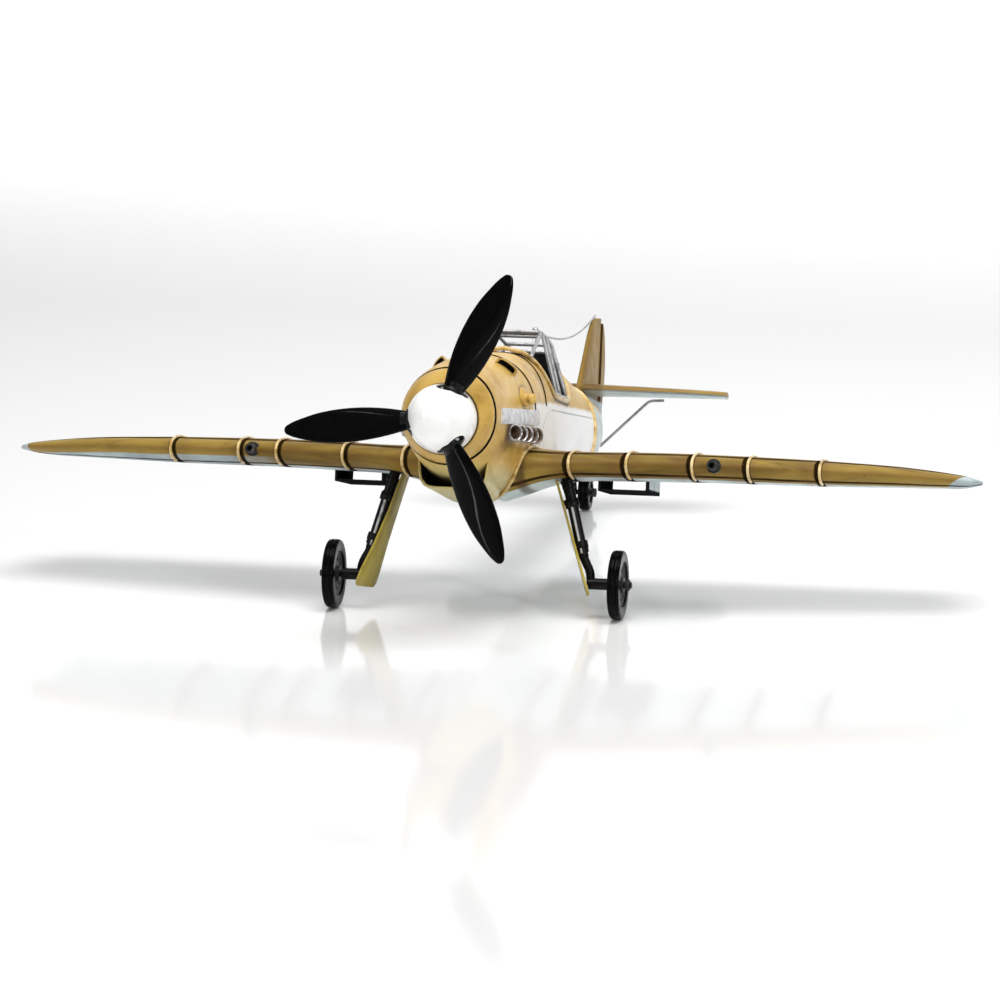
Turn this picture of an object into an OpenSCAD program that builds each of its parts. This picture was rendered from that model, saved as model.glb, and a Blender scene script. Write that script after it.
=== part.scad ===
// Sheet-metal model of a single-engine low-wing fighter, standing on its three wheels.
// The airframe is drawn level, with the propeller axis along -Y and the spinner's base at
// the origin, and is then tipped nose up until all three wheels touch the ground at z = 0.
// +Z is up, the nose points to -Y and the port wing to +X. All sizes are millimetres.

/* [Overall] */
// Distance between the wing tips
wing_span = 450; // [440:1:465]
// Thickness of the sheet metal
sheet = 0.8; // [0.6:0.1:1]
// Radius of the wire along each wing rib
rib_wire_r = 0.9; // [0.7:0.1:1.2]

/* [Propeller] */
// Distance from the propeller axis to a blade's tip
blade_tip_r = 69.6; // [66:0.2:71]
// Radius of the spinner at its base
spinner_r = 15.4; // [15:0.1:15.8]
// Length of the spinner
spinner_len = 22; // [18:1:26]
// Widest part of a blade
blade_w = 17; // [14:0.2:18]
// Radius of the propeller shaft
shaft_r = 2; // [1.8:0.1:2.4]

/* [Wing] */
// Distance of the wing's leading edge behind the spinner's base, on the centre line
wing_y = 72.7; // [71:0.1:75]
// Height of the wing's middle below the propeller axis
wing_drop = 12; // [11.5:0.1:12.5]
// Thickness of the wing outside its root fairing
wing_t = 12.8; // [12.4:0.1:13.2]

/* [Undercarriage] */
// Distance of each main wheel's middle from the centre line
track_x = 65.7; // [65:0.1:67]
// Radius of a main wheel
wheel_r = 15.75; // [15:0.25:16.5]
// Width of a wheel
wheel_w = 5.5; // [5:0.5:6.5]
// Radius of the tail wheel
tail_wheel_r = 9; // [8:0.25:9.5]
// Running clearance between an axle or shaft and its bore
play = 0.05; // [0.03:0.01:0.08]

/* [Hidden] */

tan_paint = [0.80, 0.63, 0.33];
pale_blue = [0.68, 0.76, 0.77];
white_paint = [0.94, 0.94, 0.93];
silver = [0.74, 0.75, 0.76];
black_paint = [0.05, 0.05, 0.05];
dark_iron = [0.16, 0.15, 0.14];

half_span = wing_span / 2;

// Wheel centres in the level airframe: [distance behind the spinner's base, height]
main_hub = [94.8, -67.3];
tail_hub_at = [382, -14.2];
axle_r = 1.5;
tail_axle_r = 1.2;

// Nose-up tilt and height at which all three tyres touch the ground
hub_line = tail_hub_at - main_hub;
pitch = atan2(hub_line[1], hub_line[0]) + asin((wheel_r - tail_wheel_r) / norm(hub_line));
lift = wheel_r + sin(pitch) * main_hub[0] - cos(pitch) * main_hub[1];

// Outline of the rudder seen from the side, [y, z]; its rearmost point sets the origin
rudder_hinge_y = 404;
rudder_outline = [
    [rudder_hinge_y + 0.8, 9], [408.5, 10.5], [411, 14], [412, 22], [412.8, 34], [415.4, 42],
    [416.5, 50], [415, 58], [411.5, 66], [407.5, 71], [rudder_hinge_y + 0.8, 72.8]
];
function parked_y(p) = p[0] * cos(pitch) + p[1] * sin(pitch);
front_y = -spinner_len * cos(pitch);
back_y = max([for (p = rudder_outline) parked_y(p)]);
shift_y = -(front_y + back_y) / 2;

module parked() translate([0, shift_y, lift]) rotate([-pitch, 0, 0]) children();

// Puts a shape drawn along +Z onto the propeller axis, pointing aft
module aft() rotate([-90, 0, 0]) children();

module mirrored() { children(); mirror([1, 0, 0]) children(); }

// ---------- curves ----------

function clamp01(t) = min(max(t, 0), 1);
function ease(t) = clamp01(t) * clamp01(t) * (3 - 2 * clamp01(t));
function mix(a, b, t) = a + (b - a) * t;
function spow(v, e) = sign(v) * pow(abs(v), e);

// Smooth curve through the rows of a table: column c, read at y
function slope(tab, i, c) =
    i <= 0 ? (tab[1][c] - tab[0][c]) / (tab[1][0] - tab[0][0])
    : i >= len(tab) - 1
        ? (tab[i][c] - tab[i - 1][c]) / (tab[i][0] - tab[i - 1][0])
        : (tab[i + 1][c] - tab[i - 1][c]) / (tab[i + 1][0] - tab[i - 1][0]);
function span_of(tab, y, i = 0) =
    i >= len(tab) - 2 || y <= tab[i + 1][0] ? i : span_of(tab, y, i + 1);
function curve(tab, y, c) =
    let (i = span_of(tab, y), w = tab[i + 1][0] - tab[i][0], t = clamp01((y - tab[i][0]) / w))
    (2 * t * t * t - 3 * t * t + 1) * tab[i][c] + (t * t * t - 2 * t * t + t) * w * slope(tab, i, c)
    + (3 * t * t - 2 * t * t * t) * tab[i + 1][c] + (t * t * t - t * t) * w * slope(tab, i + 1, c);

// ---------- closed skins and lofts ----------

function quad(a, b, c, d) = [[a, b, c], [a, c, d]];

// Joins two matching nets of points, outer and inner, into one sheet
module skin(outer, inner, wrap = true) {
    rows = len(outer);
    cols = len(outer[0]);
    last = wrap ? cols - 1 : cols - 2;
    function at(side, i, j) = side * rows * cols + i * cols + j % cols;
    sides = [for (i = [0 : rows - 2], j = [0 : last]) each concat(
        quad(at(0, i, j), at(0, i, j + 1), at(0, i + 1, j + 1), at(0, i + 1, j)),
        quad(at(1, i, j), at(1, i + 1, j), at(1, i + 1, j + 1), at(1, i, j + 1)))];
    rims = [for (j = [0 : last]) each concat(
        quad(at(0, 0, j), at(1, 0, j), at(1, 0, j + 1), at(0, 0, j + 1)),
        quad(at(0, rows - 1, j), at(0, rows - 1, j + 1),
             at(1, rows - 1, j + 1), at(1, rows - 1, j)))];
    edges = wrap ? [] : [for (i = [0 : rows - 2]) each concat(
        quad(at(0, i, 0), at(0, i + 1, 0), at(1, i + 1, 0), at(1, i, 0)),
        quad(at(0, i, cols - 1), at(1, i, cols - 1),
             at(1, i + 1, cols - 1), at(0, i + 1, cols - 1)))];
    polyhedron([each [for (r = outer) each r], each [for (r = inner) each r]],
               concat(sides, rims, edges), convexity = 6);
}

// Solid through a row of rings that all have the same number of points
module loft(rings) {
    rows = len(rings);
    cols = len(rings[0]);
    function at(i, j) = i * cols + j % cols;
    polyhedron([for (r = rings) each r], concat(
        [for (i = [0 : rows - 2], j = [0 : cols - 1]) each
            quad(at(i, j), at(i, j + 1), at(i + 1, j + 1), at(i + 1, j))],
        [[for (j = [cols - 1 : -1 : 0]) j]],
        [[for (j = [0 : cols - 1]) at(rows - 1, j)]]), convexity = 6);
}

// Sheet-metal sock: outer rings closed at their last ring, inner rings likewise, open at the first
module sock(outer, inner) {
    rows = len(outer);
    cols = len(outer[0]);
    function at(side, i, j) = side * rows * cols + i * cols + j % cols;
    polyhedron([each [for (r = outer) each r], each [for (r = inner) each r]], concat(
        [for (i = [0 : rows - 2], j = [0 : cols - 1]) each concat(
            quad(at(0, i, j), at(0, i, j + 1), at(0, i + 1, j + 1), at(0, i + 1, j)),
            quad(at(1, i, j), at(1, i + 1, j), at(1, i + 1, j + 1), at(1, i, j + 1)))],
        [for (j = [0 : cols - 1]) each quad(at(0, 0, j), at(1, 0, j), at(1, 0, j + 1), at(0, 0, j + 1))],
        [[for (j = [0 : cols - 1]) at(0, rows - 1, j)]],
        [[for (j = [cols - 1 : -1 : 0]) at(1, rows - 1, j)]]), convexity = 6);
}

// Round wire along a path; each turn of the frame is carried on from the last
function unit(v) = v / norm(v);
function tangent(p, i) = unit(p[min(i + 1, len(p) - 1)] - p[max(i - 1, 0)]);
function square_to(v, t) = unit(v - (v * t) * t);
module wire(path, r, sides = 8, up = [0.1, 0.2, 1]) {
    frames = [for (i = 0, n = square_to(up, tangent(path, 0)); i < len(path);
                   i = i + 1, n = i < len(path) ? square_to(n, tangent(path, i)) : n) n];
    loft([for (i = [0 : len(path) - 1]) let (n = frames[i], b = cross(tangent(path, i), n))
        [for (k = [0 : sides - 1]) path[i] + r * (cos(-360 * k / sides) * n + sin(-360 * k / sides) * b)]]);
}

// Rounds each corner of a path with a short curve that starts d before it
function bend(p, d) = [p[0],
    for (i = [1 : len(p) - 2])
        let (a = p[i] + d * unit(p[i - 1] - p[i]), b = p[i] + d * unit(p[i + 1] - p[i]))
        each [for (t = [0 : 0.25 : 1]) mix(mix(a, p[i], t), mix(p[i], b, t), t)],
    p[len(p) - 1]];

// Straight rod between two points
module rod(a, b, r) {
    v = b - a;
    translate(a) rotate([0, acos(v[2] / norm(v)), atan2(v[1], v[0])])
        cylinder(h = norm(v), r = r, $fn = 32);
}

// ---------- fuselage ----------

// Fuselage sections: [y, half width, top, bottom, squareness]
body_table = [
    [1.6, 15.9, 15.9, -15.9, 2], [7, 19.4, 20.4, -18.2, 2], [13, 21.2, 23.4, -19.2, 2.05],
    [30, 22.0, 27.6, -23.8, 2.15], [60, 22.6, 32.2, -28.6, 2.3], [100, 22.8, 36.2, -31, 2.4],
    [139, 22.4, 39, -28.4, 2.4], [180, 21.6, 40, -23.6, 2.4], [228, 20.4, 39.4, -17.8, 2.3],
    [262, 19.6, 36.4, -14.4, 2.2], [290, 18.6, 33.6, -12, 2.15], [320, 16.2, 32.4, -8, 2.1],
    [352, 12.3, 31.8, -2.6, 2.05], [376, 8.3, 31.2, 2.4, 2], [398, 4.4, 30.4, 8.4, 2]
];
function half_w(y) = curve(body_table, y, 1);
function top_z(y) = curve(body_table, y, 2);
function bottom_z(y) = curve(body_table, y, 3);
function squareness(y) = curve(body_table, y, 4);
function mid_z(y) = (top_z(y) + bottom_z(y)) / 2;
function half_h(y) = (top_z(y) - bottom_z(y)) / 2;
// Half width of the skin at height z
function side_x(y, z) =
    let (u = clamp01(abs(z - mid_z(y)) / half_h(y)), n = squareness(y))
    half_w(y) * pow(1 - pow(u, n), 1 / n);
// Point of the skin at angle a, 0 at port and 90 on top; inset moves it inwards
function skin_point(y, a, inset = 0) =
    let (e = 2 / squareness(y))
    [(half_w(y) - inset) * spow(cos(a), e), y, mid_z(y) + (half_h(y) - inset) * spow(sin(a), e)];

body_sides = 36;
function hoop(y, inset) = [for (j = [0 : body_sides - 1]) skin_point(y, 360 * j / body_sides, inset)];
module barrel(ys, proud = 0, thick = sheet)
    skin([for (y = ys) hoop(y, -proud)], [for (y = ys) hoop(y, thick - proud)]);

cowl_y = 14;
cockpit_y = 139;
deck_y = 228;
tail_y = 290;

module nose_bowl() color(tan_paint) parked() barrel([1.6, 3, 5, 8, 11, 13]);

// Disc that carries the shaft's bushing; its black rim shows between bowl and cowl
module nose_former() color(black_paint) parked() difference() {
    loft([hoop(13, 0.25), hoop(cowl_y, 0.25)]);
    aft() translate([0, 0, 5]) cylinder(h = 20, r = 4, $fn = 48);
}

bushing_y = [6, 26];
module shaft_bushing() color([0.72, 0.58, 0.3]) parked() aft() difference() {
    union() {
        translate([0, 0, bushing_y[0]]) cylinder(h = bushing_y[1] - bushing_y[0], r = 4, $fn = 48);
        translate([0, 0, cowl_y]) cylinder(h = 1.5, r = 6.5, $fn = 48);
    }
    translate([0, 0, bushing_y[0] - 1])
        cylinder(h = bushing_y[1] - bushing_y[0] + 2, r = shaft_r + play, $fn = 48);
}

module engine_cowl() color(tan_paint) parked()
    barrel([cowl_y, 22, 30, 42, 56, 72, 88, 104, 122, cockpit_y]);

// Height of the cockpit's edge: an arch in front, low sides, and a slope up to the rear deck
rail_z = 20.4;
function edge_z(y) =
    y < 180 ? mix(38.6, rail_z, ease((y - cockpit_y) / 22))
            : mix(rail_z, 38.9, ease((y - 200) / (deck_y - 200)));
function edge_angle(y) =
    asin(pow(clamp01((edge_z(y) - mid_z(y)) / half_h(y)), squareness(y) / 2));
cockpit_ys = [139, 142, 146, 150, 154, 158, 163, 180, 200, 205, 210, 215, 220, 224, 228];
function open_hoop(y, inset) = let (a = edge_angle(y), n = 28)
    [for (j = [0 : n]) skin_point(y, mix(-180 - a, a, j / n), inset)];
module cockpit_section() color(tan_paint) parked()
    skin([for (y = cockpit_ys) open_hoop(y, 0)],
         [for (y = cockpit_ys) open_hoop(y, sheet)], wrap = false);

module rear_fuselage() color(tan_paint) parked() barrel([deck_y, 238, 248, 258, 268, 279, tail_y]);
module tail_cone() color(pale_blue) parked()
    barrel([tail_y + 1.2, 300, 312, 324, 336, 348, 360, 372, 385, 398]);

// Wire ring over the joint between the fuselage and the tail
module tail_joint_band() color(tan_paint) parked()
    barrel([tail_y - 0.6, tail_y - 0.2, tail_y + 1, tail_y + 1.8], proud = 1.4, thick = 1.4);

// Two strips over the cowl, [y, lowest angle on each side, how far the crown sweeps forward]
seam_w = 1.2;
function arc_hoop(s, along, inset) = [for (j = [0 : 26]) let (a = mix(s[1], 180 - s[1], j / 26))
    skin_point(s[0] + along - s[2] * pow(sin(a), 3), a, inset)];
module cowl_seams() color(tan_paint) parked() for (s = [[104, 5, 27], [134, 13, 4]])
    skin([for (k = [0 : 2]) arc_hoop(s, k * seam_w / 2, -0.5)],
         [for (k = [0 : 2]) arc_hoop(s, k * seam_w / 2, 0)], wrap = false);

// Turned-up lip around the cockpit opening
coaming_r = 1.2;
function edge_point(y, side) = let (z = edge_z(y)) [side * (side_x(y, z) + 0.2), y, z + 0.3];
lip_ys = [140.5, 143, 146, 149, 152, 156, 161, 180, 199, 205, 211, 216, 221, 225];
module cockpit_coaming() color(tan_paint) parked() {
    lip = concat([for (x = [0, 4, 8]) [x, cockpit_y - 0.6, 41.2 - 0.03 * x * x]],
                 [for (y = lip_ys) edge_point(y, 1) + [0, 0, 1.8 * (1 - ease((y - cockpit_y) / 16))]],
                 [for (x = [9, 4.5, 0]) [x, deck_y - 0.6, 40 - 0.03 * x * x]]);
    mirrored() wire(lip, coaming_r, sides = 8, up = [0, -1, 0.2]);
}

// ---------- cowl details ----------

// Raised hoods on the cowl's shoulders, each with a slot that faces forward.
// [y and angle of the upper corner, y and angle of the lower corner, height] from mouth to tail
hoods = [
    [59, 63.5, 71.5, 41.5, 3.2], [64.5, 62.5, 76, 43, 2.8],
    [71, 60.5, 80.5, 45, 1.9], [78, 58, 85, 47, 0.5]
];
slot_depth = 4;
function out_from(y, a, h) = skin_point(y, a) + h * [cos(a), 0, sin(a)];
function hood_ring(h) = [for (p = [[0, -1.6], [0, 0.65], [0.1, 1], [0.9, 1], [1, 0.65], [1, -1.6]])
    out_from(mix(h[0], h[2], p[0]), mix(h[1], h[3], p[0]), p[1] < 0 ? p[1] : p[1] * h[4])];
slot_outline = [[0.08, 0.5], [0.13, 0.74], [0.87, 0.74], [0.92, 0.5], [0.86, 0.2], [0.14, 0.2]];
function slot_ring(h, back) = [for (p = slot_outline)
    out_from(mix(h[0], h[2], p[0]) + back, mix(h[1], h[3], p[0]), p[1] * h[4])];
module gun_troughs() color(tan_paint) parked() mirrored() difference() {
    loft([for (i = [len(hoods) - 1 : -1 : 0]) hood_ring(hoods[i])]);
    loft([slot_ring(hoods[0], slot_depth), slot_ring(hoods[0], -3)]);
}

// Bulged blister with a round knob on each side of the cowl
blister_y = 80;
blister_at = [side_x(blister_y, 15) - 0.8, blister_y, 15];
module cowl_blisters() color(tan_paint) parked() mirrored() translate(blister_at) {
    loft([for (t = [0 : 0.1 : 1]) let (y = mix(-11, 13, t), r = 5.2 * sqrt(sin(3 + 174 * t)))
        [for (k = [0 : 15]) let (a = 360 * k / 16) [r * cos(a) * 0.8 - 1.6, y, r * sin(a) + 0.05 * y]]]);
    translate([2.6, -5, -1]) rotate([80, 0, 30]) cylinder(h = 6, r1 = 2.8, r2 = 2, $fn = 40);
}

// Dimpled heat shield above the exhaust stubs
shield_y = [23, 108];
function shield_z(y) = mix(3.6, 7.7, (y - shield_y[0]) / (shield_y[1] - shield_y[0]));
shield_h = 7;
function shield_row(y, out) = [for (k = [-3 : 3]) let (z = shield_z(y) + k * shield_h / 6)
    [side_x(y, z) + out + 0.5 * (1 - k * k / 9), y, z]];
module exhaust_shields() color(silver) parked() mirrored() {
    ys = [for (i = [0 : 10]) mix(shield_y[0], shield_y[1], i / 10)];
    skin([for (y = ys) shield_row(y, 0.9)], [for (y = ys) shield_row(y, 0.1)], wrap = false);
}

// Open-ended exhaust stubs, each pointing outwards and a little forwards
stub_count = 5;
stub_pitch = 13;
stub_y = 48;
stub_r = 3.7;
module exhaust_stubs() color(silver) parked() mirrored() for (i = [0 : stub_count - 1])
    translate([side_x(stub_y + stub_pitch * i, -2.4) - 3.4, stub_y + stub_pitch * i, -2.6 + 0.35 * i])
        rotate([90, 0, 50]) difference() {
            cylinder(h = 8.5, r = stub_r, $fn = 48);
            translate([0, 0, 1]) cylinder(h = 8, r = stub_r - 0.7, $fn = 48);
        }

// Open air scoop under the nose: floor and two cheeks, open in front
scoop_y = [29, 78];
function scoop_x(t) = mix(15, 12, t);
function scoop_floor(t) = mix(-29.4, -33.4, t);
function scoop_ring(t, inset) =
    let (y = mix(scoop_y[0], scoop_y[1], t), w = scoop_x(t) - inset, f = scoop_floor(t) + inset,
         u = mix(-16.5, -22, t))
    [[-w - 1.2, y, u], [-w - 0.5, y, mix(u, f, 0.55)], [0.6 - w, y, f + 3], [3 - w, y, f + 0.7],
     [-w * 0.4, y, f], [w * 0.4, y, f], [w - 3, y, f + 0.7], [w - 0.6, y, f + 3],
     [w + 0.5, y, mix(u, f, 0.55)], [w + 1.2, y, u]];
module chin_scoop() color(tan_paint) parked() {
    ts = [0, 0.2, 0.4, 0.6, 0.8, 1];
    skin([for (t = ts) scoop_ring(t, 0)], [for (t = ts) scoop_ring(t, 1)], wrap = false);
}

// ---------- canopy and cockpit ----------

bar = 0.9;
windscreen_top = [11.5, 171, 51.2];

// Sloping windscreen frame
module windscreen_frame() color(silver) parked() {
    top = windscreen_top;
    wire(bend([[-13, 139.5, 37.8], [-top[0], top[1], top[2]], top, [13, 139.5, 37.8]], 1.6), bar);
}

// Hoops of the hood: [y, half width at the shoulder, roof height, foot height]
hoops = [[173.4, 11.6, 51.2, 21.8], [184, 11.6, 50.6, 21.8],
         [203, 11, 48, 24.5], [215, 9.8, 45.4, 33.5], [225, 8.2, 42.9, 39.6]];
function hoop_foot(h) = [min(side_x(h[0], min(h[3], 36)) - 0.6, 20.4), h[0], h[3]];
function shoulder(h) = [h[1], h[0], h[2] - 0.6];
module canopy_hoops() color(silver) parked() for (h = hoops) {
    a = hoop_foot(h);
    b = shoulder(h);
    wire(bend([[-a[0], a[1], a[2]], [-b[0], b[1], b[2]], b, a], 2.2), bar, up = [0, 1, 0]);
}

// Rails along the hood's shoulders and along its lower edge
module canopy_rails() color(silver) parked() mirrored() {
    wire([windscreen_top, for (h = hoops) shoulder(h)], bar, up = [0, 0, 1]);
    wire([[20.4, 172, 22.4], [20.3, 184, 22], [20.2, 199, 22.4]], bar, up = [0, 0, 1]);
}

mast_at = [0, 215, 45.6];
module aerial_mast() color(silver) parked() {
    rod(mast_at + [0, 0, 0.9], mast_at + [0, 4, 8.8], 0.7);
    translate(mast_at + [0, 4.4, 9.8]) sphere(r = 1.6, $fn = 32);
}

// Sagging wire from the mast to the top of the fin
fin_tip = [0, 386, 75.2];
module aerial_wire() color([0.55, 0.56, 0.58]) parked() {
    a = mast_at + [0, 5.6, 9.8];
    wire([for (i = [0 : 20]) let (t = i / 20)
        mix(a, fin_tip, t) - [0, 0, 7.6 * 4 * t * (1 - t) * (1 + 0.25 * (t - 0.5))]], 0.45, sides = 8);
}

floor_z = -4;
tub_wall_z = 15;
function tub_row(y, inset) = let (w = side_x(y, tub_wall_z) - 2 - inset, f = floor_z + inset)
    [[-w, y, tub_wall_z], [-w + 0.6, y, f], [w - 0.6, y, f], [w, y, tub_wall_z]];
module cockpit_floor() color(black_paint) parked() {
    ys = [143, 148, 154, 160, 170, 180, 200, 206];
    skin([for (y = ys) tub_row(y, 0)], [for (y = ys) tub_row(y, sheet)], wrap = false);
}

panel_y = 150;
gauges = [[-9, 17, 3], [-1.5, 20, 3.4], [7, 17, 3], [-5, 10, 2.4], [3, 10, 2.4], [11, 11, 2]];
module instrument_panel() color(black_paint) parked() {
    translate([0, panel_y, 0]) rotate([90, 0, 0]) linear_extrude(1.2) polygon(concat(
        [[-18.6, 2], [18.6, 2]], [for (a = [10 : 20 : 170]) [18.2 * cos(a), 18 + 14 * sin(a)]]));
    for (g = gauges) translate([g[0], panel_y - 0.1, g[1]]) aft() difference() {
        cylinder(h = 0.9, r = g[2], $fn = 40);
        translate([0, 0, 0.5]) cylinder(h = 1, r = g[2] - 0.4, $fn = 40);
    }
}

// Black plate behind the seat that fills the fourth hoop down to the floor
bulkhead_y = 214.2;
bulkhead = [
    [17, 0.5], [19.2, 5], [20.1, 10], [20, 15], [19.4, 20],
    [18.2, 25], [16.2, 29.5], [13.4, 33.6], [11.7, 39.5], [9.7, 43.8]
];
module rear_bulkhead() color(black_paint) parked() translate([0, bulkhead_y, 0]) rotate([90, 0, 0])
    linear_extrude(1.2) polygon(concat(bulkhead,
        [for (i = [len(bulkhead) - 1 : -1 : 0]) [-bulkhead[i][0], bulkhead[i][1]]]));

module pilot_seat() color([0.25, 0.2, 0.14]) parked() {
    translate([-8, 180, floor_z + 3]) cube([16, 17, 2]);
    translate([-8, 195, floor_z + 4]) rotate([-14, 0, 0]) cube([16, 2, 24]);
    for (x = [-8, 6.8]) translate([x, 182, floor_z + 0.8]) cube([1.2, 12, 3]);
    translate([-4.5, 199.5, floor_z + 24]) rotate([-14, 0, 0]) cube([9, 3, 7]);
}

module control_stick() color(dark_iron) parked() {
    translate([0, 170, floor_z + 0.8]) cylinder(h = 2, r = 3, $fn = 40);
    rod([0, 170, floor_z + 2], [0, 172, 12], 0.8);
    translate([0, 172.3, 13.6]) sphere(r = 1.8, $fn = 32);
}

// ---------- wing ----------

root_port_x = 42.5;
root_starboard_x = 33.6;
ribs_port = [42.5, 68, 97.1, 121.9, 153.7];
ribs_starboard = [33.6, 62.8, 95.3, 114, 147.6];
sweep = 0.216;
tip_start = half_span - 13;
fair_in = 9;

function tip_part(x) = clamp01((x - tip_start) / (half_span - tip_start));
function lead_y(x) = let (t = min(tip_part(x), 0.999))
    wing_y + sweep * x + 8 * (1 - sqrt(1 - t * t * t));
function trail_y(x) = 176 + 0.02 * x - 45 * pow(tip_part(x), 1.35);
// Wing sections: [distance from the centre line, share of the thickness, rise of the middle]
wing_table = [
    [fair_in, 2, -6.1], [16, 1.78, -5], [28, 1.3, -3], [42, 1.02, -1.7], [75, 1, -0.6], [100, 0.97, -0.1],
    [142, 0.914, 0], [165, 0.836, 0], [187, 0.72, -0.1], [205, 0.57, -0.6], [217, 0.4, -1.1],
    [half_span, 0.13, -1.5]
];
function wing_thick(x) = wing_t * curve(wing_table, max(x, fair_in), 1);
function wing_z(x) = -wing_drop + curve(wing_table, max(x, fair_in), 2);

// Half thickness of a round-nosed section of thickness 1, at u = 0 (nose) to 1 (tail)
function section(u) =
    5 * (0.2969 * sqrt(u) - 0.126 * u - 0.3516 * u * u + 0.2843 * pow(u, 3) - 0.1015 * pow(u, 4));
section_n = 12;
function chord_at(i) = (1 - cos(180 * i / section_n)) / 2;
function wing_ring(x, inset = 0) =
    let (a = lead_y(x) + inset, b = trail_y(x) - 5 * inset, t = wing_thick(x) - 2 * inset, z = wing_z(x))
    [for (i = [section_n : -1 : 0]) let (u = chord_at(i)) [x, mix(a, b, u), z - t * section(u) - 0.3 * u],
     for (i = [1 : section_n]) let (u = chord_at(i)) [x, mix(a, b, u), z + t * section(u) + 0.3 * u]];
function wing_stations(from) =
    [for (i = [0 : 7]) mix(from, tip_start, i / 7),
     for (i = [1 : 6]) mix(tip_start, half_span, sin(90 * i / 6))];

module wing_panel(from) {
    xs = wing_stations(from);
    last = len(xs) - 3;
    sock([for (x = xs) wing_ring(x)],
         [for (i = [0 : len(xs) - 1]) wing_ring(i > last ? xs[last] + 0.6 * (i - last) : xs[i], sheet)]);
}
module wing_port() color(tan_paint) parked() wing_panel(root_port_x);
module wing_starboard() color(tan_paint) parked() mirror([1, 0, 0]) wing_panel(root_starboard_x);

// Thick root fairing between the fuselage and the first rib
module wing_root(to) {
    xs = [for (i = [0 : 6]) mix(fair_in, to, i / 6)];
    skin([for (x = xs) wing_ring(x)], [for (x = xs) wing_ring(x, sheet)]);
}
module wing_root_port() color(tan_paint) parked() wing_root(root_port_x);
module wing_root_starboard() color(tan_paint) parked() mirror([1, 0, 0]) wing_root(root_starboard_x);

// Tube through the fuselage that both wings slide on
spar_y = 112;
module wing_spar() color(silver) parked() mirrored()
    rod([0, spar_y, -17], [110, spar_y + 16, -12.6], 2.5);

// Wires over the upper skin and round the leading edge
function rib_path(x, side) =
    let (a = lead_y(x), b = trail_y(x), t = wing_thick(x), z = wing_z(x), h = 0.4 * rib_wire_r)
    [for (u = [0.98, 0.85, 0.7, 0.55, 0.4, 0.27, 0.17, 0.1, 0.05, 0.02, 0.005])
        [side * x, mix(a, b, u), z + t * section(u) + 0.3 * u + h],
     [side * x, a - h, z],
     for (u = [0.005, 0.02, 0.05, 0.1, 0.16]) [side * x, mix(a, b, u), z - t * section(u) - h]];
module rib_wires(xs, side) for (x = xs) wire(rib_path(x, side), rib_wire_r, sides = 8, up = [1, 0, 0]);
module rib_wires_port() color(tan_paint) parked() rib_wires(ribs_port, 1);
module rib_wires_starboard() color(tan_paint) parked() rib_wires(ribs_starboard, -1);

// Wire along the joint of each root fairing and the fuselage
function root_y(x, u) = mix(lead_y(x), trail_y(x), u);
function root_z(x, u, s) = wing_z(x) + s * (wing_thick(x) * section(u) + 0.3 * u);
// Distance from the centre line at which the fairing's surface meets the fuselage
function root_x(u, s, x = 20, n = 8) =
    n == 0 ? x : root_x(u, s, mix(x, side_x(root_y(x, u), root_z(x, u, s)), 0.7), n - 1);
function fillet_point(u, s) = let (x = root_x(u, s)) [x + 0.5, root_y(x, u), root_z(x, u, s) + 0.5 * s];
function fillet_path() = concat(
    [for (u = [0.75, 0.6, 0.45, 0.33, 0.22, 0.13, 0.07, 0.03, 0.008]) fillet_point(u, 1)],
    [for (x = [root_x(0, 1)]) [x + 0.5, lead_y(x) - 0.5, wing_z(x)]],
    [for (u = [0.008, 0.03, 0.06, 0.1, 0.14, 0.18]) fillet_point(u, -1)]);
module root_fillet_wires() color(tan_paint) parked() mirrored()
    wire(fillet_path(), 0.9, sides = 8, up = [1, 0, 0]);

// Gun barrel in each wing's leading edge
gun_x = 106.8;
module wing_guns() color(dark_iron) parked() mirrored() {
    translate([gun_x, lead_y(gun_x) + 2.5, wing_z(gun_x) + 0.2]) rotate([90, 0, 0]) {
        cylinder(h = 2.6, r = 3.3, $fn = 40);
        difference() {
            cylinder(h = 9, r = 2.2, $fn = 40);
            translate([0, 0, 4]) cylinder(h = 6, r = 1.3, $fn = 40);
        }
    }
}

// Radiator duct, open in front and behind
duct = [23, 36, 7.6];
duct_y = 116;
duct_floor = -24.2;
radiator_port_x = 62.5;
radiator_starboard_x = 60.5;
module radiator(x) translate([x - duct[0] / 2, duct_y, duct_floor]) difference() {
    cube(duct);
    translate([1, -1, 1]) cube([duct[0] - 2, duct[1] + 2, duct[2]]);
    for (s = [0, 1]) translate([-1, s * duct[1], 0]) rotate([s == 0 ? 20 : -14, 0, 0])
        translate([0, s == 0 ? -20 : 0, -2]) cube([duct[0] + 2, 20, 20]);
}
module radiator_port() color(pale_blue) parked() radiator(radiator_port_x);
module radiator_starboard() color(pale_blue) parked() radiator(-radiator_starboard_x);

// ---------- tail ----------

// Flat streamlined plate: rings across the chord from root to tip
function plate_ring(a, b, thick, place) =
    [for (i = [8 : -1 : 0]) let (u = (1 - cos(22.5 * i)) / 2) place(mix(a, b, u), thick * section(u) + 0.25),
     for (i = [0 : 8]) let (u = (1 - cos(22.5 * i)) / 2) place(mix(a, b, u), -thick * section(u) - 0.25)];

fin_foot = 30.6;
function fin_lead(z) = let (t = clamp01((z - 35) / 39.6))
    mix(343, 376, pow(t, 0.9)) + 16 * (1 - sqrt(1 - pow(t, 8)));
module fin() color(tan_paint) parked() {
    zs = [fin_foot, 38, 44, 50, 56, 61, 66, 70, 72.6, 74, 74.6];
    loft([for (z = zs) plate_ring(fin_lead(z), rudder_hinge_y, mix(4.6, 2.2, (z - fin_foot) / 42),
                                  function (y, x) [x, y, z])]);
}

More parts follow.
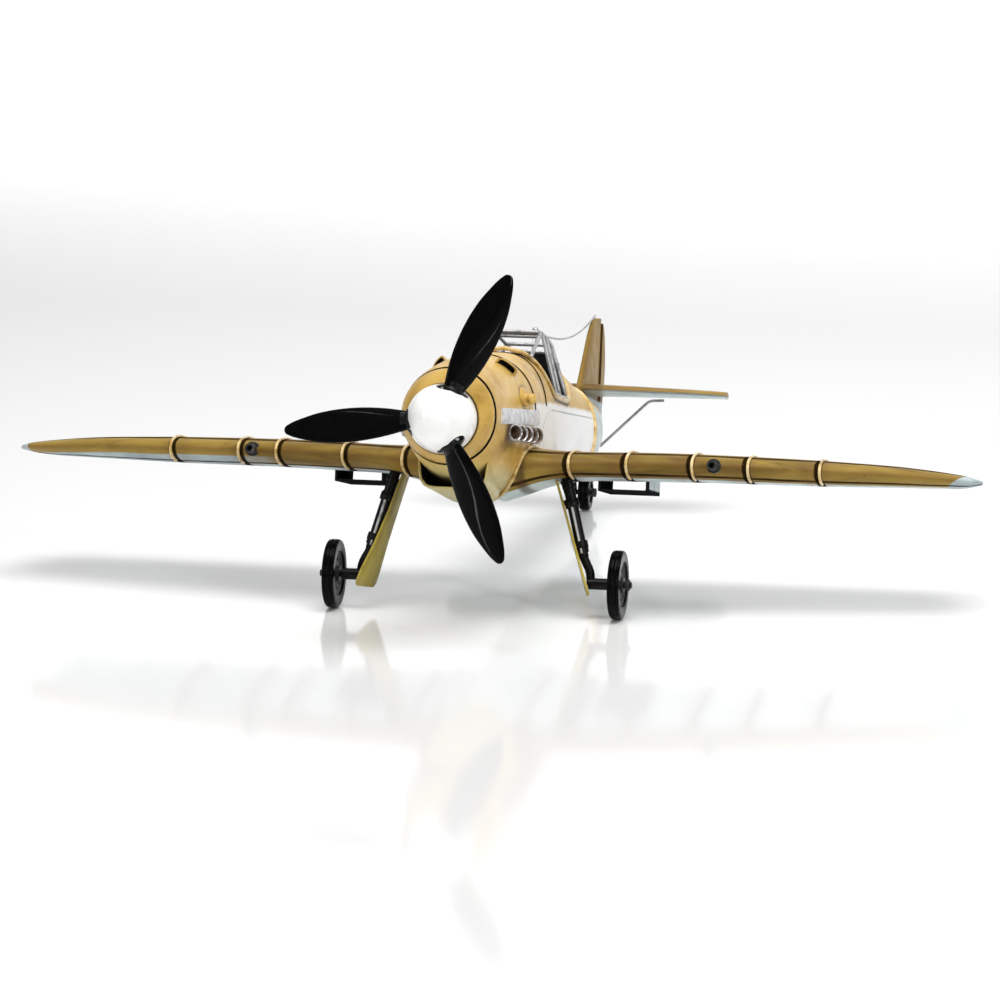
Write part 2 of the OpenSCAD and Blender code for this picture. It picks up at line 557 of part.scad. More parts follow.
module rudder() color(tan_paint) parked()
    translate([-1.3, 0, 0]) rotate([90, 0, 90]) linear_extrude(2.6) polygon(rudder_outline);

tailplane_z = 36.3;
tail_tip_x = 71;
function tail_lead(x) = let (t = clamp01((x - 52) / (tail_tip_x - 52)))
    mix(350, 358.5, x / tail_tip_x) + 15 * (1 - sqrt(1 - min(t, 0.999) * t));
function tail_trail(x) = let (t = clamp01((x - 50) / (tail_tip_x - 50)))
    391.5 - 13 * (1 - sqrt(1 - min(t, 0.999) * t));
module tailplane() color(tan_paint) parked() mirrored() {
    xs = [1.2, 12, 26, 40, 52, 58, 63, 67, 69.5, 70.6, 71];
    loft([for (x = xs) plate_ring(tail_lead(x), tail_trail(x), mix(5.6, 3.2, x / tail_tip_x),
                                  function (y, z) [x, y, tailplane_z - z])]);
}

// Wire brace from the tail cone up to each half of the tailplane
brace_r = 0.7;
module tailplane_braces() color(silver) parked() mirrored()
    wire(bend([[5.6, 387, 9.6], [29.8, 386, 33.2], [37, 386, 33.6]], 2), brace_r);

// ---------- undercarriage ----------

leg_top = [39.6, 97, -19.3];
leg_knee = [49.2, 95.4, -55];
leg_foot = [53.4, main_hub[0], main_hub[1]];
door_top = [34.6, 97, -21.4];
module gear_legs() color(black_paint) parked() mirrored() {
    rod(leg_top, leg_knee, 2.5);
    wire(bend([mix(leg_top, leg_knee, 0.96), leg_knee,
               mix(leg_knee, leg_foot, 0.55) + [1.2, 0, 0], leg_foot], 2),
         2, sides = 16);
    translate(leg_top - [5, 5, 0.6]) cube([10, 10, 1.2]);
    rod(leg_top + [-4, 9, 0], mix(leg_top, leg_knee, 0.55), 1.1);
}
// Bright rod in front of each leg
module gear_pistons() color(silver) parked() mirrored()
    rod(mix(leg_top, leg_knee, 0.3) - [0, 2.6, 0], mix(leg_top, leg_knee, 0.96) - [0, 2.6, 0], 0.6);

// Plate on the inboard side of each leg, wider at its lower end
door_toe = 10.7;
module gear_doors() color(tan_paint) parked() mirrored()
    translate(door_top) rotate([0, 0, door_toe]) rotate([0, -17.8, 0]) rotate([90, 0, 90])
        linear_extrude(1) polygon([
            [-4, 0], [4, 0], [5, -16], [6.4, -34], [8.4, -47],
            for (a = [0 : 15 : 90]) [5.6 + 3 * cos(a), -51 - 3 * sin(a)],
            for (a = [90 : 15 : 180]) [-11 + 3 * cos(a), -51 - 3 * sin(a)],
            [-13.4, -46], [-8.6, -33], [-5, -16]
        ]);

// Clamps that tie each door to its leg
module gear_brackets() color(black_paint) parked() mirrored() for (t = [0.34, 0.86]) {
    p = mix(leg_top, leg_knee, t);
    translate(p) rotate([0, 165, 0]) difference() {
        cylinder(h = 3.6, r = 3.6, center = true, $fn = 40);
        cylinder(h = 5, r = 2.5, center = true, $fn = 40);
    }
    translate(p + [-5.6, -1.5, -1]) cube([3, 3, 2.4]);
}

hub_half = wheel_w / 2;
module main_axles() color(dark_iron) parked() mirrored() {
    translate([leg_foot[0] - 1.4, main_hub[0], main_hub[1]]) rotate([0, 90, 0])
        cylinder(h = track_x + hub_half + 3.6 - leg_foot[0] + 1.4, r = axle_r, $fn = 40);
    translate([leg_foot[0] - 1, main_hub[0], main_hub[1]]) rotate([0, 90, 0])
        cylinder(h = track_x - hub_half - 1.3 - leg_foot[0] + 1, r = 2.6, $fn = 40);
}

// Bent wire leg of the tail wheel, on its starboard side, with the wheel's axle
tail_side = -5.4;
module tail_wheel_leg() color(black_paint) parked() {
    wire(bend([[0, 366, 2], [-1, 368, -2.4], [tail_side, 374, -5],
               [tail_side, tail_hub_at[0], tail_hub_at[1] - 0.8]], 1.8),
         1.3, sides = 12);
    translate([tail_side - 1, tail_hub_at[0], tail_hub_at[1]]) rotate([0, 90, 0])
        cylinder(h = 11.6, r = tail_axle_r, $fn = 40);
}

// ---------- wheels ----------

// Square-shouldered tyre; its shoulders are rounded over the outer tread_d
tread_d = 1.7;
module tyre(r, rim, w, x, at) translate([x, at[0], at[1]]) rotate([0, 90, 0]) rotate_extrude($fn = 96)
    polygon(concat([[rim, -w / 2 + 0.8], [rim + 1, -w / 2]],
        [for (a = [-90 : 10 : 90]) [r - tread_d + tread_d * spow(cos(a), 0.6), w / 2 * spow(sin(a), 0.6)]],
        [[rim + 1, w / 2], [rim, w / 2 - 0.8]]));
module hub(rim, w, bore, x, at, boss) translate([x, at[0], at[1]]) rotate([0, 90, 0]) difference() {
    union() {
        cylinder(h = w - 1.6, r = rim, center = true, $fn = 96);
        cylinder(h = w, r1 = boss, r2 = boss, center = true, $fn = 64);
    }
    for (s = [-1, 1]) translate([0, 0, s * w / 2]) difference() {
        cylinder(h = 2.8, r = rim - 1.2, center = true, $fn = 96);
        cylinder(h = 4, r = boss, center = true, $fn = 64);
    }
    cylinder(h = w + 2, r = bore, center = true, $fn = 40);
}
rim_r = 10;
module tyre_port() color(black_paint) parked() tyre(wheel_r, rim_r, wheel_w, track_x, main_hub);
module tyre_starboard() color(black_paint) parked() tyre(wheel_r, rim_r, wheel_w, -track_x, main_hub);
module hub_port() color(dark_iron) parked()
    hub(rim_r, wheel_w, axle_r + play, track_x, main_hub, 3.6);
module hub_starboard() color(dark_iron) parked()
    hub(rim_r, wheel_w, axle_r + play, -track_x, main_hub, 3.6);
tail_rim_r = 5;
module tail_tyre() color(black_paint) parked() tyre(tail_wheel_r, tail_rim_r, wheel_w, 0, tail_hub_at);
module tail_hub() color(dark_iron) parked()
    hub(tail_rim_r, wheel_w, tail_axle_r + play, 0, tail_hub_at, 2.4);

// Six-sided nuts on the axle ends
module axle_nuts() color(silver) parked() {
    for (s = [-1, 1]) translate([s * (track_x + hub_half + 1.7), main_hub[0], main_hub[1]])
        rotate([0, 90, 0]) difference() {
            cylinder(h = 2.2, r = 2.5, center = true, $fn = 6);
            cylinder(h = 4, r = axle_r, center = true, $fn = 40);
        }
    translate([hub_half + 1.7, tail_hub_at[0], tail_hub_at[1]]) rotate([0, 90, 0]) difference() {
        cylinder(h = 2, r = 2.2, center = true, $fn = 6);
        cylinder(h = 4, r = tail_axle_r, center = true, $fn = 40);
    }
}

// ---------- propeller ----------

// Blade directions, measured from straight up towards port
blade_angles = [24.2, 154, 263.5];
blade_y = -7;
// Blade sections: [distance from the axis, width, thickness]
blade_table = [
    [9, 7, 5], [14, 9.8, 4.6], [22, 13.8, 4.2], [30, 16.2, 3.8], [38, blade_w, 3.4],
    [46, blade_w - 0.7, 3], [54, blade_w - 3, 2.6], [60, blade_w - 6.2, 2.2],
    [65.5, blade_w - 9.8, 1.7], [blade_tip_r, 3, 0.9]
];
function blade_ring(s) =
    let (w = curve(blade_table, s, 1) / 2, h = curve(blade_table, s, 2) / 2,
         twist = mix(36, 14, (s - 9) / 60))
    [for (k = [0 : 15]) let (a = -360 * k / 16, c = w * spow(cos(a), 0.9), d = h * sin(a))
        [c * cos(twist) - d * sin(twist), c * sin(twist) + d * cos(twist), s]];
module propeller_blades() color(black_paint) parked() translate([0, blade_y, 0]) for (b = blade_angles)
    rotate([0, b, 0]) {
        loft([for (s = [9, 12, 16, 20, 25, 30, 36, 42, 48, 54, 59, 63, 66, 68, 69, blade_tip_r])
            blade_ring(s)]);
        translate([0, 0, 5]) cylinder(h = 5, r = 2, $fn = 40);
    }
module propeller_hub() color(dark_iron) parked() translate([0, blade_y, 0]) difference() {
    aft() cylinder(h = 11, r = 6.4, center = true, $fn = 64);
    aft() cylinder(h = 13, r = shaft_r, center = true, $fn = 48);
    for (b = blade_angles) rotate([0, b, 0]) translate([0, 0, 4.4]) cylinder(h = 5, r = 2, $fn = 40);
}

// Domed spinner with a round opening for each blade root
spinner_points = 16;
function dome(r, l) = [for (i = [0 : spinner_points]) let (t = 90 * i / spinner_points)
    [r * pow(cos(t), 0.94), l * sin(t)]];
blade_hole = [4.4, 3.4];
module spinner() color(white_paint) parked() difference() {
    rotate([90, 0, 0]) rotate_extrude($fn = 96) polygon(concat(
        dome(spinner_r, spinner_len),
        [for (i = [spinner_points : -1 : 0]) dome(spinner_r - sheet, spinner_len - sheet)[i]]));
    for (b = blade_angles) translate([0, blade_y, 0]) rotate([0, b, 0]) rotate([0, 0, 36]) {
        for (s = [-1, 1]) translate([s * blade_hole[1], 0, 0]) cylinder(h = 20, r = blade_hole[0], $fn = 48);
        translate([0, 0, 10]) cube([2 * blade_hole[1], 2 * blade_hole[0], 20], center = true);
    }
}
module spinner_backplate() color(white_paint) parked() aft() difference() {
    cylinder(h = 0.8, r = spinner_r, $fn = 96);
    translate([0, 0, -1]) cylinder(h = 3, r = shaft_r, $fn = 48);
}
shaft_y = [-13, 31];
module propeller_shaft() color(silver) parked() aft() translate([0, 0, shaft_y[0]])
    cylinder(h = shaft_y[1] - shaft_y[0], r = shaft_r, $fn = 48);
module shaft_collar() color(silver) parked() aft() translate([0, 0, bushing_y[1] + 0.4]) difference() {
    cylinder(h = 3.5, r = 4.4, $fn = 48);
    translate([0, 0, -1]) cylinder(h = 6, r = shaft_r, $fn = 48);
}

nose_bowl();
nose_former();
shaft_bushing();
engine_cowl();
cockpit_section();
rear_fuselage();
tail_cone();
tail_joint_band();
cowl_seams();
cockpit_coaming();
gun_troughs();
cowl_blisters();
exhaust_shields();
exhaust_stubs();
chin_scoop();
windscreen_frame();
canopy_hoops();
canopy_rails();
aerial_mast();
aerial_wire();
cockpit_floor();
instrument_panel();
rear_bulkhead();
pilot_seat();
control_stick();
wing_root_port();
wing_root_starboard();
wing_port();
wing_starboard();
wing_spar();
rib_wires_port();
rib_wires_starboard();
root_fillet_wires();
wing_guns();
radiator_port();
radiator_starboard();
fin();
rudder();
tailplane();
tailplane_braces();
gear_legs();
gear_pistons();
gear_doors();
gear_brackets();
main_axles();
tail_wheel_leg();
propeller_blades();
propeller_hub();
spinner();
spinner_backplate();
propeller_shaft();
shaft_collar();
tyre_port();
hub_port();
tyre_starboard();
hub_starboard();
tail_tyre();
tail_hub();
axle_nuts();
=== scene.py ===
"""Visual model of a sheet-metal propeller plane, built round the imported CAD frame.

Most pieces are drawn in the level airframe, in millimetres: x to port, y aft from the
spinner's base, z up. place() tips them nose up and sets them on their wheels, in metres.
"""
from math import asin, atan2, copysign, cos, degrees, exp, hypot, pi, radians, sin, sqrt

import bmesh
import bpy
from mathutils import Matrix, Vector


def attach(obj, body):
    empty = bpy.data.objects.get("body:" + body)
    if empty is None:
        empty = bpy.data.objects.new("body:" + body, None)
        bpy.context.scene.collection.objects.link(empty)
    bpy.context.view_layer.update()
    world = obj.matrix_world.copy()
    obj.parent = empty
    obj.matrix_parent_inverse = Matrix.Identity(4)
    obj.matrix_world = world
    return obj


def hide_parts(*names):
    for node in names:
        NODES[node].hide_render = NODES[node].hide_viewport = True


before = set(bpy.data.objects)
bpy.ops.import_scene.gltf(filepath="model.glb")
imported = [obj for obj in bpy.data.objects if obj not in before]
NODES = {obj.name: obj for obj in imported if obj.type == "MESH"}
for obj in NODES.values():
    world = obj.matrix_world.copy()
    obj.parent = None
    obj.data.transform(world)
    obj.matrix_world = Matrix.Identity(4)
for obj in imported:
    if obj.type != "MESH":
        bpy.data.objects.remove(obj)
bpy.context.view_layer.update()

# ---------------------------------------------------------------- airframe numbers

WHEEL_R, TAIL_WHEEL_R, WHEEL_W = 15.75, 9.0, 5.5
TRACK_X = 65.7
MAIN_HUB, TAIL_HUB = (94.8, -67.3), (382.0, -14.2)
SPINNER_R, SPINNER_LEN = 15.4, 22.0
SHEET = 0.8
HALF_SPAN = 225.0
WING_Y, SWEEP = 72.7, 0.216  # leading edge at the middle, and how far it runs aft per mm of span
TRAIL_Y, TRAIL_SWEEP = 176, 0.02  # the same for the trailing edge
COWL_Y, COCKPIT_Y, DECK_Y, TAIL_Y = 14, 139, 228, 290  # where each fuselage section starts

_run, _rise = TAIL_HUB[0] - MAIN_HUB[0], TAIL_HUB[1] - MAIN_HUB[1]
PITCH = atan2(_rise, _run) + asin((WHEEL_R - TAIL_WHEEL_R) / hypot(_run, _rise))
COS_P, SIN_P = cos(PITCH), sin(PITCH)
LIFT = WHEEL_R + SIN_P * MAIN_HUB[0] - COS_P * MAIN_HUB[1]
HINGE_Y = 404.0
RUDDER_EDGE = [(HINGE_Y + 0.8, 9), (408.5, 10.5), (411, 14), (412, 22), (412.8, 34), (415.4, 42),
               (416.5, 50), (415, 58), (411.5, 66), (407.5, 71), (HINGE_Y + 0.8, 72.8)]
SHIFT = -(-SPINNER_LEN * COS_P + max(y * COS_P + z * SIN_P for y, z in RUDDER_EDGE)) / 2


def place(p):
    """From the level airframe in millimetres to the parked plane in metres."""
    x, y, z = p
    return Vector((x, SHIFT + y * COS_P + z * SIN_P, LIFT - y * SIN_P + z * COS_P)) / 1000


# ---------------------------------------------------------------- small mathematics


def clamp01(t):
    return min(max(t, 0.0), 1.0)


def ease(t):
    t = clamp01(t)
    return t * t * (3 - 2 * t)


def mix(a, b, t):
    if isinstance(a, (tuple, list)):
        return tuple(p + (q - p) * t for p, q in zip(a, b))
    return a + (b - a) * t


def spow(v, e):
    return copysign(abs(v) ** e, v)


def curve(table, y, c):
    """Smooth curve through column c of a table whose first column is y."""
    i = 0
    while i < len(table) - 2 and y > table[i + 1][0]:
        i += 1

    def slope(k):
        lo, hi = max(k - 1, 0), min(k + 1, len(table) - 1)
        return (table[hi][c] - table[lo][c]) / (table[hi][0] - table[lo][0])

    w = table[i + 1][0] - table[i][0]
    t = clamp01((y - table[i][0]) / w)
    return ((2 * t**3 - 3 * t**2 + 1) * table[i][c] + (t**3 - 2 * t**2 + t) * w * slope(i)
            + (3 * t**2 - 2 * t**3) * table[i + 1][c] + (t**3 - t**2) * w * slope(i + 1))


def steps(a, b, n):
    return [mix(a, b, i / n) for i in range(n + 1)]


# ---------------------------------------------------------------- meshes


class Shape:
    """Collects vertices and faces of one piece."""

    def __init__(self):
        self.v, self.f = [], []

    def add(self, verts, faces):
        n = len(self.v)
        self.v += [tuple(p) for p in verts]
        self.f += [tuple(i + n for i in f) for f in faces]
        return self

    def loft(self, rings):
        """Solid through matching rings of points, closed at both ends."""
        rows, cols = len(rings), len(rings[0])
        faces = [(i * cols + j, i * cols + (j + 1) % cols, (i + 1) * cols + (j + 1) % cols,
                  (i + 1) * cols + j) for i in range(rows - 1) for j in range(cols)]
        faces.append(tuple(range(cols - 1, -1, -1)))
        faces.append(tuple((rows - 1) * cols + j for j in range(cols)))
        return self.add([p for r in rings for p in r], faces)

    def skin(self, outer, inner, wrap=True):
        """Closed sheet between two matching nets of points."""
        rows, cols = len(outer), len(outer[0])
        m = rows * cols
        last = cols if wrap else cols - 1

        def at(side, i, j):
            return side * m + i * cols + j % cols

        faces = []
        for i in range(rows - 1):
            for j in range(last):
                faces.append((at(0, i, j), at(0, i, j + 1), at(0, i + 1, j + 1), at(0, i + 1, j)))
                faces.append((at(1, i, j), at(1, i + 1, j), at(1, i + 1, j + 1), at(1, i, j + 1)))
        for j in range(last):
            faces.append((at(0, 0, j), at(1, 0, j), at(1, 0, j + 1), at(0, 0, j + 1)))
            faces.append((at(0, rows - 1, j), at(0, rows - 1, j + 1), at(1, rows - 1, j + 1),
                          at(1, rows - 1, j)))
        if not wrap:
            for i in range(rows - 1):
                faces.append((at(0, i, 0), at(0, i + 1, 0), at(1, i + 1, 0), at(1, i, 0)))
                faces.append((at(0, i, cols - 1), at(1, i, cols - 1), at(1, i + 1, cols - 1),
                              at(0, i + 1, cols - 1)))
        return self.add([p for r in outer for p in r] + [p for r in inner for p in r], faces)

    def tube(self, path, r, sides=14, up=(0.1, 0.2, 1)):
        """Round wire along a path, r a number or one per point, with rounded ends."""
        path = [Vector(p) for p in path]
        n = len(path)
        radii = list(r) if isinstance(r, (tuple, list)) else [r] * n

        def tangent(i):
            return (path[min(i + 1, n - 1)] - path[max(i - 1, 0)]).normalized()

        t = tangent(0)
        side = (Vector(up) - Vector(up).dot(t) * t).normalized()
        rings = []

        def ring(c, t, side, r):
            b = t.cross(side)
            return [tuple(c + r * (cos(a) * side + sin(a) * b))
                    for a in (2 * pi * k / sides for k in range(sides))]

        def dome(end, t, side, r, angles):
            return [ring(end + t * r * sin(a) * 0.6, t, side, abs(r) * cos(a))
                    for a in map(radians, angles)]

        rings += dome(path[0], t, side, -radii[0], (75, 50, 25))
        for i in range(n):
            t = tangent(i)
            side = (side - side.dot(t) * t).normalized()
            rings.append(ring(path[i], t, side, radii[i]))
        return self.loft(rings + dome(path[-1], t, side, radii[-1], (25, 50, 75)))

    def lathe(self, profile, centre, axis, sides=96, closed=True):
        """Turns a profile of (radius, along) points about an axis; closed joins its two ends."""
        axis = Vector(axis).normalized()
        u = axis.orthogonal().normalized()
        w = axis.cross(u)
        c = Vector(centre)
        verts = []
        for k in range(sides):
            a = 2 * pi * k / sides
            d = cos(a) * u + sin(a) * w
            verts += [tuple(c + r * d + h * axis) for r, h in profile]
        m = len(profile)
        faces = []
        for k in range(sides):
            for i in range(m if closed else m - 1):
                a, b = k * m + i, k * m + (i + 1) % m
                c2, d2 = (k + 1) % sides * m + (i + 1) % m, (k + 1) % sides * m + i
                faces.append((a, d2, c2, b))
        return self.add(verts, faces)

    def mirrored(self):
        """Adds the same again on the other side of the plane."""
        n = len(self.v)
        self.v += [(-x, y, z) for x, y, z in self.v[:n]]
        self.f += [tuple(i + n for i in reversed(f)) for f in self.f[:]]
        return self

    def piece(self, name, look, replaced=(), slot=None, sharp=35, body="airframe"):
        """Adds what was collected to the scene, as a mesh that rides body."""
        mesh = bpy.data.meshes.new(name)
        mesh.from_pydata([place(v) for v in self.v], [], self.f)
        mesh.validate(clean_customdata=False)
        turned = bmesh.new()
        turned.from_mesh(mesh)
        bmesh.ops.recalc_face_normals(turned, faces=turned.faces)
        turned.to_mesh(mesh)
        turned.free()
        mesh.materials.append(MAT[look])
        mesh.polygons.foreach_set("use_smooth", [True] * len(mesh.polygons))
        mesh.set_sharp_from_angle(angle=radians(sharp))
        obj = bpy.data.objects.new(name, mesh)
        bpy.context.scene.collection.objects.link(obj)
        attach(obj, body)
        if replaced:
            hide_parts(*replaced)
        return obj


def rounded(path, d):
    """Rounds the corners of a path with a short curve that starts d before each."""
    path = [Vector(p) for p in path]
    out = [path[0]]
    for i in range(1, len(path) - 1):
        a = path[i] + (path[i - 1] - path[i]).normalized() * d
        b = path[i] + (path[i + 1] - path[i]).normalized() * d
        out += [a.lerp(path[i], t).lerp(path[i].lerp(b, t), t) for t in steps(0, 1, 6)]
    out.append(path[-1])
    return out


def smooth_path(points, n=8):
    """Catmull-Rom curve through the points."""
    p = [Vector(q) for q in points]
    out = []
    for i in range(len(p) - 1):
        a, b, c, d = p[max(i - 1, 0)], p[i], p[i + 1], p[min(i + 2, len(p) - 1)]
        for k in range(n):
            t = k / n
            out.append(0.5 * (2 * b + (c - a) * t + (2 * a - 5 * b + 4 * c - d) * t**2
                              + (3 * b - 3 * c + d - a) * t**3))
    out.append(p[-1])
    return out


SMOOTH_ANGLE, BEVEL_ANGLE = 32, 40
WELD = 2e-6  # metres


def soften(obj, bevel):
    """Smooth shading on a CAD node, by modifiers only, with sharp edges kept sharp."""
    weld = obj.modifiers.new("weld", "WELD")
    weld.merge_threshold = WELD
    if bevel:
        b = obj.modifiers.new("bevel", "BEVEL")
        b.width, b.segments = bevel / 1000, 2
        b.limit_method, b.angle_limit = "ANGLE", radians(BEVEL_ANGLE)
        b.harden_normals = False
    key = f"smooth_by_angle_{SMOOTH_ANGLE}"
    group = bpy.data.node_groups.get(key)
    if group is None:
        group = bpy.data.node_groups.new(key, "GeometryNodeTree")
        group.interface.new_socket("Geometry", in_out="INPUT", socket_type="NodeSocketGeometry")
        group.interface.new_socket("Geometry", in_out="OUTPUT", socket_type="NodeSocketGeometry")
        new, link = group.nodes.new, group.links.new
        start, end = new("NodeGroupInput"), new("NodeGroupOutput")
        faces, edges = new("GeometryNodeSetShadeSmooth"), new("GeometryNodeSetShadeSmooth")
        edges.domain = "EDGE"
        edges.inputs["Shade Smooth"].default_value = False
        corner, over = new("GeometryNodeInputMeshEdgeAngle"), new("FunctionNodeCompare")
        over.data_type, over.operation = "FLOAT", "GREATER_THAN"
        over.inputs[1].default_value = radians(SMOOTH_ANGLE)
        link(corner.outputs["Unsigned Angle"], over.inputs[0])
        link(start.outputs[0], faces.inputs["Geometry"])
        link(faces.outputs[0], edges.inputs["Geometry"])
        link(over.outputs[0], edges.inputs["Selection"])
        link(edges.outputs[0], end.inputs[0])
    obj.modifiers.new("smooth", "NODES").node_group = group


# ---------------------------------------------------------------- materials


class Shader:
    """Small helper that writes a procedural material."""

    def __init__(self, name):
        self.material = bpy.data.materials.new(name)
        self.material.use_nodes = True
        self.tree = self.material.node_tree
        self.tree.nodes.clear()
        self.bsdf = self.new("ShaderNodeBsdfPrincipled")
        out = self.new("ShaderNodeOutputMaterial")
        self.link(self.bsdf.outputs[0], out.inputs[0])
        self._level = None

    def new(self, kind):
        return self.tree.nodes.new(kind)

    def link(self, a, b):
        self.tree.links.new(a, b)

    def put(self, value, socket):
        if isinstance(value, bpy.types.NodeSocket):
            self.link(value, socket)
        elif isinstance(value, (tuple, list)) and len(value) == 3 and socket.type == "RGBA":
            socket.default_value = (*value, 1)
        else:
            socket.default_value = value

    def level(self):
        """Coordinates of the level airframe, in millimetres."""
        if self._level is None:
            coord, m = self.new("ShaderNodeTexCoord"), self.new("ShaderNodeMapping")
            back = Vector((0, SHIFT, LIFT)) * -1
            m.inputs["Scale"].default_value = (1000, 1000, 1000)
            m.inputs["Rotation"].default_value = (PITCH, 0, 0)
            m.inputs["Location"].default_value = Matrix.Rotation(PITCH, 3, "X") @ back
            self.link(coord.outputs["Object"], m.inputs["Vector"])
            self._level = m.outputs[0]
        return self._level

    def axes(self):
        s = self.new("ShaderNodeSeparateXYZ")
        self.link(self.level(), s.inputs[0])
        return s.outputs[0], s.outputs[1], s.outputs[2]

    def math(self, op, a, b=None, c=None, clamp=False):
        n = self.new("ShaderNodeMath")
        n.operation, n.use_clamp = op, clamp
        for value, socket in zip((a, b, c), n.inputs):
            if value is not None:
                self.put(value, socket)
        return n.outputs[0]

    def mul(self, a, b):
        return self.math("MULTIPLY", a, b)

    def add(self, a, b):
        return self.math("ADD", a, b)

    def sub(self, a, b):
        return self.math("SUBTRACT", a, b)

    def most(self, a, b):
        return self.math("MAXIMUM", a, b)

    def size(self, a):
        return self.math("ABSOLUTE", a)

    def line(self, a, slope, start):
        """a times slope, plus start."""
        return self.math("MULTIPLY_ADD", a, slope, start)

    def step(self, value, a, b, low=0.0, high=1.0):
        """Smooth step of value from low at a to high at b."""
        n = self.new("ShaderNodeMapRange")
        n.interpolation_type = "SMOOTHSTEP"
        flip = a > b
        for v, k in zip((value, min(a, b), max(a, b), high if flip else low, low if flip else high),
                        ("Value", "From Min", "From Max", "To Min", "To Max")):
            self.put(v, n.inputs[k])
        return n.outputs["Result"]

    def band(self, value, a, b, soft=0.3):
        """1 where value lies between a and b, with soft borders."""
        return self.mul(self.step(value, a - soft, a + soft), self.step(value, b + soft, b - soft))

    def noise(self, scale, detail=3.0, rough=0.55, stretch=(1, 1, 1)):
        m, n = self.new("ShaderNodeMapping"), self.new("ShaderNodeTexNoise")
        m.inputs["Scale"].default_value = stretch
        self.link(self.level(), m.inputs["Vector"])
        self.link(m.outputs[0], n.inputs["Vector"])
        n.inputs["Scale"].default_value = scale
        n.inputs["Detail"].default_value = detail
        n.inputs["Roughness"].default_value = rough
        return n.outputs["Fac"]

    def cells(self, scale, feature="F1"):
        n = self.new("ShaderNodeTexVoronoi")
        n.feature = feature
        n.inputs["Scale"].default_value = scale
        self.link(self.level(), n.inputs["Vector"])
        return n.outputs["Distance"]

    def ramp(self, fac, stops):
        n = self.new("ShaderNodeValToRGB")
        e = n.color_ramp.elements
        while len(e) < len(stops):
            e.new(0.5)
        for item, (pos, col) in zip(e, sorted(stops, key=lambda s: s[0])):
            item.position = pos
            item.color = (*col, 1) if isinstance(col, (tuple, list)) else (col, col, col, 1)
        self.put(fac, n.inputs[0])
        return n.outputs[0]

    def table(self, value, rows, low, high):
        """Reads a table of (x, y) rows at value; y between low and high."""
        a, b = rows[0][0], rows[-1][0]
        t = self.math("DIVIDE", self.sub(value, a), b - a, clamp=True)
        grey = self.ramp(t, [((x - a) / (b - a), (y - low) / (high - low)) for x, y in rows])
        return self.line(grey, high - low, low)

    def blend(self, fac, a, b):
        n = self.new("ShaderNodeMix")
        n.data_type = "RGBA"
        self.put(fac, n.inputs["Factor"])
        self.put(a, n.inputs[6])
        self.put(b, n.inputs[7])
        return n.outputs[2]

    def over(self, colour, mask, amount, tint):
        """Paints tint over colour where mask is 1, amount of it at most."""
        return self.blend(self.mul(mask, amount), colour, tint)

    def wobble(self, scale, detail, amount):
        """Noise about nought, for brushed edges."""
        return self.mul(self.sub(self.noise(scale, detail), 0.5), amount)

    def bump(self, height, distance, strength=1.0, under=None):
        n = self.new("ShaderNodeBump")
        n.inputs["Distance"].default_value = distance / 1000
        n.inputs["Strength"].default_value = strength
        self.put(height, n.inputs["Height"])
        if under is not None:
            self.link(under, n.inputs["Normal"])
        return n.outputs[0]

    def done(self, colour, rough, normal=None, metal=0.0, **fixed):
        b = self.bsdf
        self.put(colour, b.inputs["Base Color"])
        self.put(rough, b.inputs["Roughness"])
        self.put(metal, b.inputs["Metallic"])
        if normal is not None:
            self.link(normal, b.inputs["Normal"])
        for k, v in fixed.items():
            b.inputs[k.replace("_", " ")].default_value = v
        return self.material


TAN = (0.53, 0.325, 0.068)
TAN_LIGHT = (0.64, 0.42, 0.108)
TAN_DEEP = (0.32, 0.18, 0.034)
UMBER = (0.055, 0.026, 0.010)
OLIVE = (0.47, 0.44, 0.20)
# pale blue belly: paint colour, made brighter than the other pale blues as painted light
LIT_BELLY_BLUE = (0.82, 0.91, 0.91)
FLUX = (0.006, 0.003, 0.002)

# lines on the fuselage, as (y, z) or (z, y) rows for Shader.table
WHITE_TOP = [(98, 12.6), (120, 14.4), (149, 16.4), (200, 17.8), (250, 19.4), (291, 20.6)]
WHITE_FRONT = [(-4, 120), (6, 127), (11, 137), (13.6, 149)]
LIP_TABLE = [(139, 38.6), (142.5, 37.3), (146, 34.2), (150, 29.5), (154, 24.8), (157.5, 21.7),
             (161, 20.4), (200, 20.4), (204.5, 21.7), (209, 24.8), (214, 29.6), (219, 34.5),
             (223.5, 37.6), (228, 38.9)]
SEAM_TABLES = [([(8, 104.6), (20, 102), (25, 98.4), (28.5, 94), (31, 89.9), (33, 85.8), (34.6, 78)],
                8), ([(10, 134.6), (25, 134.4), (34, 132.6), (39, 130.6)], 15)]
SEAM_LINES = [(104, 5, 27), (134, 13, 4)]  # y at the side, lowest angle, how far it sweeps forward


def tan_base(s, streak=(1, 1, 1), tone=1.0):
    """Hand-brushed sand enamel: soft clouds, streaks and fine specks; a tone below 1 darkens it as
    painted shade.
    """
    deep, middle, light = (tuple(c * tone for c in shade) for shade in (TAN_DEEP, TAN, TAN_LIGHT))
    clouds = s.noise(0.045, 4, 0.55, streak)
    colour = s.ramp(clouds, [(0.30, deep), (0.44, middle), (0.60, light), (0.75, middle)])
    fine = s.noise(0.9, 3, 0.6)
    return s.blend(s.step(fine, 0.62, 0.76, 0.0, 0.12), colour, UMBER)


